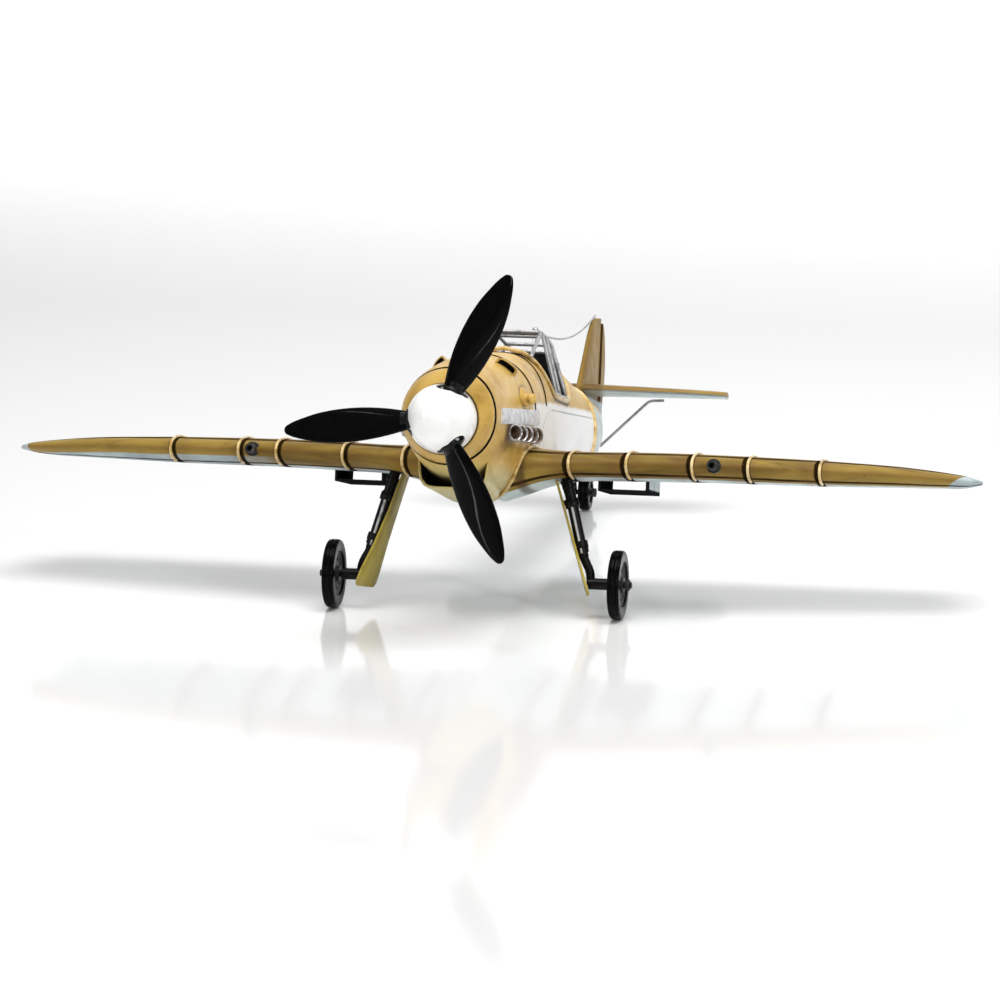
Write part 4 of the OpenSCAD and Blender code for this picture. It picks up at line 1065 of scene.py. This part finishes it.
BLISTER_Y, BLISTER_Z, BLISTER_R = 80, 15, 5.2
blister_x = side_x(BLISTER_Y, BLISTER_Z) - 0.8
blisters = Shape()
rings = []
for t in steps(0, 1, 30):
    r = BLISTER_R * sqrt(max(sin(radians(3 + 174 * t)), 0))
    y = mix(-11, 13, t)
    rings.append([(blister_x + 0.8 * r * cos(a) - 1.6, BLISTER_Y + y, BLISTER_Z + r * sin(a)
                   + 0.05 * y) for a in (2 * pi * k / 40 for k in range(40))])
blisters.loft(rings)
KNOB = [(0.01, -1), (3.0, -1), (3.0, 0.6), (2.7, 1.3), (2.2, 1.6), (2.05, 2.0), (2.3, 2.6),
        (2.5, 3.4), (2.3, 4.2), (1.7, 4.8), (0.9, 5.1), (0.01, 5.15)]
knob_axis = Vector((cos(radians(25)), -sin(radians(25)) * 1.6, 0.12)).normalized()
knob_at = Vector((blister_x + 2.6, 75.4, 14))
blisters.lathe(KNOB, knob_at, knob_axis, 48, closed=False)
blisters.mirrored()
# the domes take tan_dark: grime, and partly painted shade
blisters.piece("cowl_blister_domes", "tan_dark", ["cowl_blisters"], sharp=50)

SHIELD_Y = (23, 108)


def shield_row(y, out):
    z0 = mix(3.6, 7.7, (y - SHIELD_Y[0]) / (SHIELD_Y[1] - SHIELD_Y[0]))
    row = []
    for k in steps(-1, 1, 14):
        z = z0 + 3.5 * k
        dent = 0.13 * sin(0.66 * y + 2.2 * k + 2.1 * sin(0.19 * y)) * sin(0.27 * y + 3.4 * k + 1)
        dent += 0.08 * sin(1.31 * y - 3.1 * k + 3 * sin(0.11 * y + k))
        dent *= 1 - k * k
        row.append((side_x(y, z) + out + (0.5 * (1 - k * k) + dent if out > 0.5 else 0), y, z))
    return row


ys = steps(*SHIELD_Y, 70)
plates = Shape().skin([shield_row(y, 0.9) for y in ys], [shield_row(y, -0.2) for y in ys],
                      wrap=False)
plates.mirrored().piece("exhaust_shield_plates", "shield", ["exhaust_shields"], sharp=50)

STUB = [(3.55, 0.2), (3.6, 6.4), (3.78, 7.4), (3.82, 8.1), (3.6, 8.5), (3.3, 8.4), (3.1, 7.9),
        (3.05, 2), (3.0, 0.2)]
STUB_SOOT = [(0.01, 1.2), (3.1, 1.2), (3.1, 7.6), (2.98, 7.6), (2.94, 1.9), (0.01, 1.8)]
STUB_COUNT, STUB_Y, STUB_PITCH, STUB_ANGLE = 5, 48, 13, 50
stubs, soot = Shape(), Shape()
for i in range(STUB_COUNT):
    y, z = STUB_Y + STUB_PITCH * i, -2.6 + 0.35 * i
    axis = (sin(radians(STUB_ANGLE)), -cos(radians(STUB_ANGLE)), 0)
    at = (side_x(y, -2.4) - 3.4, y, z)
    stubs.lathe(STUB, at, axis, 72)
    soot.lathe(STUB_SOOT, at, axis, 64, closed=False)
stubs.mirrored().piece("exhaust_stub_tubes", "stub", ["exhaust_stubs"], slot="silver_paint",
                       sharp=60)
soot.mirrored().piece("exhaust_stub_soot", "burnt", slot="silver_paint", sharp=60)


def scoop_ring(t, inset):
    """Chin scoop at t from mouth to tail: w half width, f floor, u upper edge."""
    y, w, f = mix(29, 78, t), mix(15, 12, t) - inset, mix(-29.4, -33.4, t) + inset
    u = mix(-16.5, -22, t)
    half = [(w + 1.2, u), (w + 0.9, mix(u, f, 0.25)), (w + 0.5, mix(u, f, 0.55)),
            (w, mix(u, f, 0.72)), (w - 0.8, f + 2.4), (w - 1.9, f + 1.1), (w - 3.2, f + 0.45),
            (w * 0.6, f + 0.06), (w * 0.3, f)]
    return [(x, y, z) for x, z in half] + [(0, y, f)] + [(-x, y, z) for x, z in reversed(half)]


ts = [0, 0.006, 0.015, 0.03, *steps(0.06, 1, 24)]
Shape().skin([scoop_ring(t, 0.35 * (1 - min(t, 0.03) / 0.03) ** 2) for t in ts],
             [scoop_ring(t, 1 - 0.25 * (1 - min(t, 0.03) / 0.03) ** 2) for t in ts],
             wrap=False).piece(
    "chin_scoop_shell", "fuselage", ["chin_scoop"], sharp=50)
# the scoop lining is near black as painted shade inside the scoop
ts = steps(0.03, 0.9, 12)
Shape().skin([scoop_ring(t, 1.02) for t in ts], [scoop_ring(t, 1.25) for t in ts],
             wrap=False).piece(
    "chin_scoop_lining", "void", slot="black_paint", sharp=50)

# ---------------------------------------------------------------- canopy, mast and wire

BAR = 0.9
TOP = (11.5, 171, 51.2)  # upper corner of the windscreen
FOOT = (13, 139.5, 37.8)
arch = rounded([(-FOOT[0], *FOOT[1:]), (-TOP[0], *TOP[1:]), TOP, FOOT], 1.8)
Shape().tube(arch, BAR, 18).piece("windscreen_wires", "wire", ["windscreen_frame"])
# y, half width at the shoulder, top, foot
HOOPS = [(173.4, 11.6, 51.2, 21.8), (184, 11.6, 50.6, 21.8), (203, 11, 48, 24.5),
         (215, 9.8, 45.4, 33.5), (225, 8.2, 42.9, 39.6)]


cage = Shape()
for y, half, top, low in HOOPS:
    foot = min(side_x(y, min(low, 36)) - 0.6, 20.4)
    arch = rounded([(-foot, y, low), (-half, y, top - 0.6), (half, y, top - 0.6), (foot, y, low)],
                   2.4)
    cage.tube(arch, BAR, 18, (0, 1, 0))
cage.piece("canopy_hoop_wires", "wire", ["canopy_hoops"])
rails = Shape().tube([TOP, *[(half, y, top - 0.6) for y, half, top, _ in HOOPS]], BAR, 18,
                     (0, 0, 1))
rails.tube([(20.4, 172, 22.4), (20.3, 184, 22), (20.2, 199, 22.4)], BAR, 16, (0, 0, 1))
rails.mirrored().piece("canopy_rail_wires", "wire", ["canopy_rails"])
MAST, FIN_TIP = (0, 215, 45.6), (0, 386, 75.2)
MAST_TOP = (0, MAST[1] + 5.6, MAST[2] + 9.8)
AERIAL_SAG, AERIAL_R = 7.6, 0.45
sag = []
for t in steps(0, 1, 60):
    x, y, z = mix(MAST_TOP, FIN_TIP, t)
    sag.append((x, y, z - AERIAL_SAG * 4 * t * (1 - t) * (1 + 0.25 * (t - 0.5))))
Shape().tube(sag, AERIAL_R, 12).piece("aerial_sagging_wire", "aerial", ["aerial_wire"])

# ---------------------------------------------------------------- wings

TIP_START = HALF_SPAN - 13
FAIR_IN = 9  # inner end of the root fairing, inside the fuselage
ROOT_PORT, ROOT_STARBOARD = RIBS_PORT[0], RIBS_STARBOARD[0]
WING_T, WING_Z, CAMBER = 12.8, -12, 0.3
RIB_R, RIB_PROUD, FILLET_R = 0.7, 0.22, 0.9
WING = [(9, 2, -6.1), (16, 1.78, -5), (28, 1.3, -3), (42, 1.02, -1.7), (75, 1, -0.6),
        (100, 0.97, -0.1), (142, 0.914, 0), (165, 0.836, 0), (187, 0.72, -0.1), (205, 0.57, -0.6),
        (217, 0.4, -1.1), (225, 0.13, -1.5)]


# where the wires lie, as parts of the chord
RIB_TOP = (0.98, 0.92, 0.85, 0.77, 0.7, 0.62, 0.55, 0.47, 0.4, 0.33, 0.27, 0.21, 0.17, 0.13, 0.1,
           0.07, 0.05, 0.033, 0.02, 0.01, 0.004)
RIB_UNDER = (0.004, 0.01, 0.02, 0.033, 0.05, 0.075, 0.1, 0.13, 0.16)
FILLET_TOP = (0.75, 0.67, 0.6, 0.52, 0.45, 0.39, 0.33, 0.27, 0.22, 0.17, 0.13, 0.1, 0.07, 0.05,
              0.03, 0.018, 0.008)
FILLET_UNDER = (0.008, 0.018, 0.03, 0.045, 0.06, 0.08, 0.1, 0.12, 0.14, 0.16, 0.18)


def tip_part(x):
    """0 up to where the wing tip starts, 1 at its end."""
    return clamp01((x - TIP_START) / (HALF_SPAN - TIP_START))


def lead_y(x):
    t = min(tip_part(x), 0.999)
    return WING_Y + SWEEP * x + 8 * (1 - sqrt(1 - t**3))


def trail_y(x):
    return TRAIL_Y + TRAIL_SWEEP * x - 45 * tip_part(x) ** 1.35


def wing_thick(x):
    return WING_T * curve(WING, max(x, FAIR_IN), 1)


def wing_z(x):
    return WING_Z + curve(WING, max(x, FAIR_IN), 2)


def section(u):
    """Half thickness of a symmetrical aerofoil at u of its chord."""
    return 5 * (0.2969 * sqrt(u) - 0.126 * u - 0.3516 * u**2 + 0.2843 * u**3 - 0.1015 * u**4)


def chord_steps(n):
    """From 0 to 1, closer together at both ends."""
    return [(1 - cos(pi * i / n)) / 2 for i in range(n + 1)]


def wing_point(x, u, side, proud=0.0):
    """Point on the wing at u of its chord, side 1 above and -1 below."""
    return (x, mix(lead_y(x), trail_y(x), u), wing_z(x)
            + side * (wing_thick(x) * section(u) + CAMBER * u + proud))


def wing_ring(x):
    us = chord_steps(34)
    return [wing_point(x, u, -1) for u in reversed(us)] + [wing_point(x, u, 1) for u in us[1:]]


def flip(shape, side):
    if side < 0:
        shape.v = [(-x, y, z) for x, y, z in shape.v]
    return shape


for side, name, root, ribs in ((1, "port", ROOT_PORT, RIBS_PORT),
                               (-1, "starboard", ROOT_STARBOARD, RIBS_STARBOARD)):
    xs = steps(root, TIP_START, 44)
    xs += [mix(TIP_START, HALF_SPAN, sin(pi / 2 * i / 16)) for i in range(1, 17)]
    flip(Shape().loft([wing_ring(x) for x in xs]), side).piece(
        "wing_skin_" + name, "wing_" + name, ["wing_" + name], sharp=50)
    flip(Shape().loft([wing_ring(x) for x in steps(FAIR_IN, root, 24)]), side).piece(
        "root_fairing_" + name, "root_" + name, ["wing_root_" + name], sharp=50)
    wires = Shape()
    for x in ribs:
        path = [wing_point(x, u, 1, RIB_PROUD) for u in RIB_TOP]
        path += [(x, lead_y(x) - RIB_PROUD, wing_z(x))]
        path += [wing_point(x, u, -1, RIB_PROUD - CAMBER * u) for u in RIB_UNDER]
        wires.tube(smooth_path(path, 3), RIB_R, 16, (1, 0, 0))
    flip(wires, side).piece("rib_wire_set_" + name, "rib", ["rib_wires_" + name])


def fillet_point(u, s):
    """Where the wing's skin meets the fuselage, found step by step."""
    x = 20
    for _ in range(10):
        _, y, z = wing_point(x, u, s)
        x = mix(x, side_x(y, z), 0.7)
    return (x + 0.5, y, z + 0.5 * s)


fillet = [fillet_point(u, 1) for u in FILLET_TOP]
nose = fillet_point(0, 1)
fillet += [(nose[0], lead_y(nose[0] - 0.5) - 0.5, wing_z(nose[0] - 0.5))]
fillet += [fillet_point(u, -1) for u in FILLET_UNDER]
Shape().tube(smooth_path(fillet, 3), FILLET_R, 16, (1, 0, 0)).mirrored().piece(
    "root_fillet_lines", "fillet", ["root_fillet_wires"])

# ---------------------------------------------------------------- tail


def plate_ring(a, b, thick, put):
    """Thin aerofoil from y = a to y = b; put(y, height) gives the point."""
    us = chord_steps(22)
    return ([put(mix(a, b, u), thick * section(u) + 0.25) for u in reversed(us)]
            + [put(mix(a, b, u), -thick * section(u) - 0.25) for u in us])


FIN_LOW, FIN_TOP, TAIL_SPAN = 30.6, 74.6, 71


def fin_lead(z):
    t = clamp01((z - 35) / (FIN_TOP - 35))
    return mix(343, 376, t**0.9) + 16 * (1 - sqrt(1 - t**8))


fin_rings = []
for z in [*steps(FIN_LOW, 66, 30), *steps(67, FIN_TOP, 16)]:
    thick = mix(4.6, 2.2, (z - FIN_LOW) / 42)
    fin_rings.append(plate_ring(fin_lead(z), HINGE_Y + 0.8, thick, lambda y, x: (x, y, z)))
Shape().loft(fin_rings).piece("fin_skin", "fin", ["fin"], sharp=50)


def tail_lead(x):
    t = clamp01((x - 52) / 19)
    return mix(350, 358.5, x / TAIL_SPAN) + 15 * (1 - sqrt(1 - min(t, 0.999) * t))


def tail_trail(x):
    t = clamp01((x - 50) / 21)
    return 391.5 - 13 * (1 - sqrt(1 - min(t, 0.999) * t))


xs = [*steps(1.2, 50, 20), *[mix(50, TAIL_SPAN, sin(pi / 2 * i / 18)) for i in range(1, 19)]]
tail_rings = []
for x in xs:
    thick = mix(5.6, 3.2, x / TAIL_SPAN)
    tail_rings.append(plate_ring(tail_lead(x), tail_trail(x), thick, lambda y, z: (x, y, 36.3 - z)))
Shape().loft(tail_rings).mirrored().piece("tailplane_skin", "tailplane", ["tailplane"], sharp=50)
Shape().tube(rounded([(5.6, 387, 9.6), (29.8, 386, 33.2), (37, 386, 33.6)], 2.4), 0.7,
             14).mirrored().piece(
    "tailplane_brace_wires", "brace", ["tailplane_braces"])

# ---------------------------------------------------------------- undercarriage

TREAD_D = 1.7
LEG_TOP, LEG_KNEE = Vector((39.6, 97, -19.3)), Vector((49.2, 95.4, -55))
LEG_FOOT = Vector((53.4, *MAIN_HUB))
LEG_R, LOWER_LEG_R, STAY_R, ROD_R = 2.5, 2.0, 1.1, 0.6
legs = Shape().tube([LEG_TOP.lerp(LEG_KNEE, t) for t in steps(0, 1, 10)], LEG_R, 32)
bend = LEG_KNEE.lerp(LEG_FOOT, 0.55) + Vector((1.2, 0, 0))
legs.tube(rounded([LEG_TOP.lerp(LEG_KNEE, 0.96), LEG_KNEE, bend, LEG_FOOT], 2), LOWER_LEG_R, 24)
brace_top, brace_foot = LEG_TOP + Vector((-4, 9, 0)), LEG_TOP.lerp(LEG_KNEE, 0.55)
legs.tube([brace_top, brace_top.lerp(brace_foot, 0.5), brace_foot], STAY_R, 16)
down = (LEG_KNEE - LEG_TOP).normalized()
COLLAR = [(2.4, -1.1), (2.95, -0.9), (3.05, 0), (2.95, 0.9), (2.4, 1.1)]
for t in (0.12, 0.30, 0.93):
    legs.lathe(COLLAR, LEG_TOP.lerp(LEG_KNEE, t), down, 48)
legs.mirrored().piece("gear_leg_struts", "black", ["gear_legs"], sharp=50)
rod = [LEG_TOP.lerp(LEG_KNEE, t) - Vector((0, 2.6, 0)) for t in steps(0.3, 0.96, 6)]
Shape().tube(rod, ROD_R, 20).mirrored().piece("gear_piston_rods", "wire", ["gear_pistons"])
CLAMP = [(2.5, -1.8), (3.05, -1.8), (3.3, -1.5), (3.3, 1.5), (3.05, 1.8), (2.5, 1.8)]
CLAMP_BAR = ((-1.5, -1), (1.5, -1), (1.5, 1.4), (-1.5, 1.4))
clamps = Shape()
for t, reach in ((0.34, 4.5), (0.86, 2.9)):
    p = LEG_TOP.lerp(LEG_KNEE, t)
    clamps.lathe(CLAMP, p, down, 64)
    clamps.loft([[p + Vector((x, y, z)) for y, z in CLAMP_BAR] for x in (-reach, -2.3)])
clamps.mirrored().piece("gear_door_clamps", "black", ["gear_brackets"], sharp=40)


def groove_profile(r, rim, w):
    """Square-shouldered tread with three fine grooves round it, as (radius, along) points."""
    out = [(rim, -w / 2 + 0.9), (rim + 0.5, -w / 2 + 0.15), (rim + 1.2, -w / 2)]
    for k in range(-36, 37):
        a = radians(2.5 * k)
        top, along = spow(cos(a), 0.6), w / 2 * spow(sin(a), 0.6)
        cut = sum(0.34 * exp(-((along - g) / 0.2) ** 2) for g in (-1.45, 0, 1.45))
        out.append((r - TREAD_D + (TREAD_D - cut) * top, along))
    return out + [(rim + 1.2, w / 2), (rim + 0.5, w / 2 - 0.15), (rim, w / 2 - 0.9)]


def hub_profile(rim, w, bore, boss):
    h = w / 2
    face = [(bore, h), (boss - 0.4, h), (boss, h - 0.3), (boss, h - 1.3), (boss + 0.5, h - 1.5),
            (rim - 3, h - 1.5), (rim - 1.9, h - 1.15), (rim - 1.2, h - 0.85), (rim - 0.4, h - 0.8),
            (rim, h - 0.9)]
    return face + [(r, -z) for r, z in reversed(face)]


BOLT = [(0.01, 0), (0.62, 0), (0.62, 0.25), (0.42, 0.45), (0.01, 0.55)]


def wheel(name, x, hub, r, rim, bore, boss, tyre, hub_node):
    at = (x, *hub)
    Shape().lathe(groove_profile(r, rim, WHEEL_W), at, (1, 0, 0), 128).piece(
        f"{name}_tread", "rubber", [tyre], sharp=60, body=name)
    disc = Shape().lathe(hub_profile(rim, WHEEL_W, bore, boss), at, (1, 0, 0), 96)
    ring = (boss + rim) / 2 - 0.2
    for k in range(6):
        a = radians(60 * k + 30)
        for s in (-1, 1):
            centre = (x + s * (WHEEL_W / 2 - 1.55), hub[0] + ring * cos(a), hub[1] + ring * sin(a))
            disc.lathe(BOLT, centre, (s, 0, 0), 16, closed=False)
    disc.piece(f"{name}_disc", "wheel", [hub_node], sharp=40, body=name)


MAIN_DISC, TAIL_DISC = (10, 1.55, 3.6), (5, 1.25, 2.4)  # radii of rim, bore and boss
for side, x in (("port", TRACK_X), ("starboard", -TRACK_X)):
    wheel(f"wheel_{side}", x, MAIN_HUB, WHEEL_R, *MAIN_DISC, f"tyre_{side}", f"hub_{side}")
wheel("tail_wheel", 0, TAIL_HUB, TAIL_WHEEL_R, *TAIL_DISC, "tail_tyre", "tail_hub")

# ---------------------------------------------------------------- propeller

BLADE_ANGLES = (24.2, 154, 263.5)
BLADE_Y = -7
ROUND_FROM = 68.6  # the tip is rounded beyond this
BLADE = [(9, 7, 5), (14, 9.8, 4.6), (22, 13.8, 4.2), (30, 16.2, 3.8), (38, 17, 3.4), (46, 16.3, 3),
         (54, 14, 2.6), (60, 10.8, 2.2), (65.5, 7.2, 1.7), (69.6, 3, 0.9)]


def swung(p, deg):
    """Turns a point about the propeller axis, 0 is straight up and 90 is port."""
    a = radians(deg)
    x, y, z = p
    return (x * cos(a) + z * sin(a), y, -x * sin(a) + z * cos(a))


def blade_ring(s):
    w, h = curve(BLADE, s, 1) / 2, curve(BLADE, s, 2) / 2
    twist = radians(mix(36, 14, (s - 9) / 60))
    ring = []
    for k in range(48):
        a = 2 * pi * k / 48
        c, d = w * spow(cos(a), 0.9), h * sin(a)
        ring.append((c * cos(twist) - d * sin(twist), BLADE_Y + c * sin(twist) + d * cos(twist), s))
    return ring


CUFF = [(2.0, 9), (4.9, 9.2), (5.3, 10.2), (5.3, 13.4), (4.9, 14.1), (3.9, 14.5), (3.6, 15.2),
        (3.9, 16.2), (3.7, 17), (2.0, 17.2)]
PIN = [(0.01, -0.8), (0.8, -0.8), (0.8, 0.5), (0.5, 0.8), (0.01, 0.9)]
blades, cuffs, pins = Shape(), Shape(), Shape()
for b in BLADE_ANGLES:
    ss = [*steps(9, 60, 48), *steps(60.8, ROUND_FROM, 14), 68.9, 69.15, 69.35, 69.5, 69.58, 69.6]
    rings = []
    for s in ss:
        ring = blade_ring(s)
        if s > ROUND_FROM:
            k = sqrt(max(0.0, 1 - ((s - ROUND_FROM) / 1.02) ** 2))
            mid = [sum(p[i] for p in ring) / len(ring) for i in range(3)]
            ring = [tuple(m + (q - m) * k for m, q in zip(mid[:2], p[:2])) + (p[2],) for p in ring]
        rings.append([swung(p, b) for p in ring])
    blades.loft(rings)
    axis = swung((0, 0, 1), b)
    cuffs.lathe(CUFF, (0, BLADE_Y, 0), axis, 48)
    for s in (-1, 1):
        c = swung((s * 3.9, BLADE_Y - 3.4, 12), b)
        pins.lathe(PIN, c, (s * 0.4, -1, 0), 20, closed=False)
blades.piece("propeller_blade_set", "blade", ["propeller_blades"], sharp=60, body="propeller")
cuffs.piece("blade_root_cuffs", "black", slot="black_paint", sharp=50, body="propeller")
pins.piece("blade_root_pins", "wire", slot="silver_paint", sharp=50, body="propeller")


def dome(inset, tip_inset):
    r, length = SPINNER_R - inset, SPINNER_LEN - tip_inset
    return [(r * cos(t) ** 0.94 if t < pi / 2 - 1e-6 else 0.01, length * sin(t))
            for t in steps(0, pi / 2, 40)]


# the spinner lining is near black as painted shade inside the spinner
outside, inside = dome(0.95, 1.0), dome(1.25, 1.3)
Shape().lathe(outside + list(reversed(inside)), (0, 0, 0), (0, -1, 0), 96).piece(
    "spinner_lining", "void", slot="black_paint", sharp=60, body="propeller")

BEVELLED = ("gear_doors", "rudder", "pilot_seat", "axle_nuts")
for node in CAD_LOOK:
    if not NODES[node].hide_render:
        soften(NODES[node], 0.12 if node in BEVELLED else 0)

# ---------------------------------------------------------------- studio


def studio_white(name, tone, rough):
    s = Shader(name)
    return s.done(s.ramp(s.noise(0.004, 2), [(0.3, tone * 0.985), (0.7, tone)]), rough)


def cove():
    """Pale floor that curves up into a backdrop behind the model."""
    half, front, back, high, bend_r = 9.0, -6.0, 7.0, 6.0, 2.5
    profile = [(front, 0.0), (back - bend_r, 0.0)]
    profile += [(back - bend_r + bend_r * sin(a), bend_r - bend_r * cos(a))
                for a in steps(0, pi / 2, 16)[1:]]
    profile.append((back, high))
    verts = [(x, y, z) for x in (-half, half) for y, z in profile]
    n = len(profile)
    mesh = bpy.data.meshes.new("studio_floor")
    mesh.from_pydata(verts, [], [(i, i + n, i + n + 1, i + 1) for i in range(n - 1)])
    mesh.polygons.foreach_set("use_smooth", [True] * len(mesh.polygons))
    mesh.materials.append(studio_white("studio_floor_white", 0.86, 0.10))
    obj = bpy.data.objects.new("studio_floor", mesh)
    bpy.context.scene.collection.objects.link(obj)


def area_light(name, at, target, size, power):
    light = bpy.data.lights.new(name, "AREA")
    light.shape, light.size, light.size_y = "RECTANGLE", size[0], size[1]
    light.energy = power
    obj = bpy.data.objects.new(name, light)
    obj.location = at
    obj.rotation_mode = "QUATERNION"
    obj.rotation_quaternion = (Vector(target) - Vector(at)).to_track_quat("-Z", "Y")
    bpy.context.scene.collection.objects.link(obj)


cove()
area_light("top_softbox", (0.2, -0.3, 1.6), (0, 0, 0.05), (1.2, 0.9), 26)
area_light("front_port_softbox", (1.5, -1.7, 0.9), (0, -0.05, 0.08), (0.09, 1.3), 15)
area_light("front_starboard_softbox", (-1.6, -1.5, 0.7), (0, -0.05, 0.08), (0.07, 1.1), 8)
area_light("backdrop_wash", (0, 2.2, 2.4), (0, 5.5, 0.6), (4, 1.5), 210)

world = bpy.data.worlds.new("studio_world")
world.use_nodes = True
sky = world.node_tree.nodes["Background"]
sky.inputs["Color"].default_value, sky.inputs["Strength"].default_value = (1, 1, 1, 1), 0.36
bpy.context.scene.world = world
bpy.context.scene.view_settings.view_transform = "Standard"

# ---------------------------------------------------------------- camera

AZIMUTH, ELEVATION, ROLL = 0.18603, 0.16418, 0.00789
DISTANCE = 2.6676
TARGET = Vector((0.00197, (SHIFT + 127.7) / 1000, 0.04438))
LENS, SENSOR = 207.97, 36.0


def add_camera():
    ca, sa, ce, se = cos(AZIMUTH), sin(AZIMUTH), cos(ELEVATION), sin(ELEVATION)
    ahead = Vector((-sa * ce, ca * ce, -se))
    right, up = Vector((ca, sa, 0)), Vector((-sa * se, ca * se, ce))
    r, u = (cos(ROLL) * right + sin(ROLL) * up, -sin(ROLL) * right + cos(ROLL) * up)
    data = bpy.data.cameras.new("camera")
    data.lens, data.sensor_width = LENS, SENSOR
    data.clip_start, data.clip_end = 0.05, 100
    cam = bpy.data.objects.new("camera", data)
    turn = Matrix((r, u, -ahead)).transposed().to_4x4()
    cam.matrix_world = Matrix.Translation(TARGET - ahead * DISTANCE) @ turn
    bpy.context.scene.collection.objects.link(cam)
    bpy.context.scene.camera = cam


add_camera()
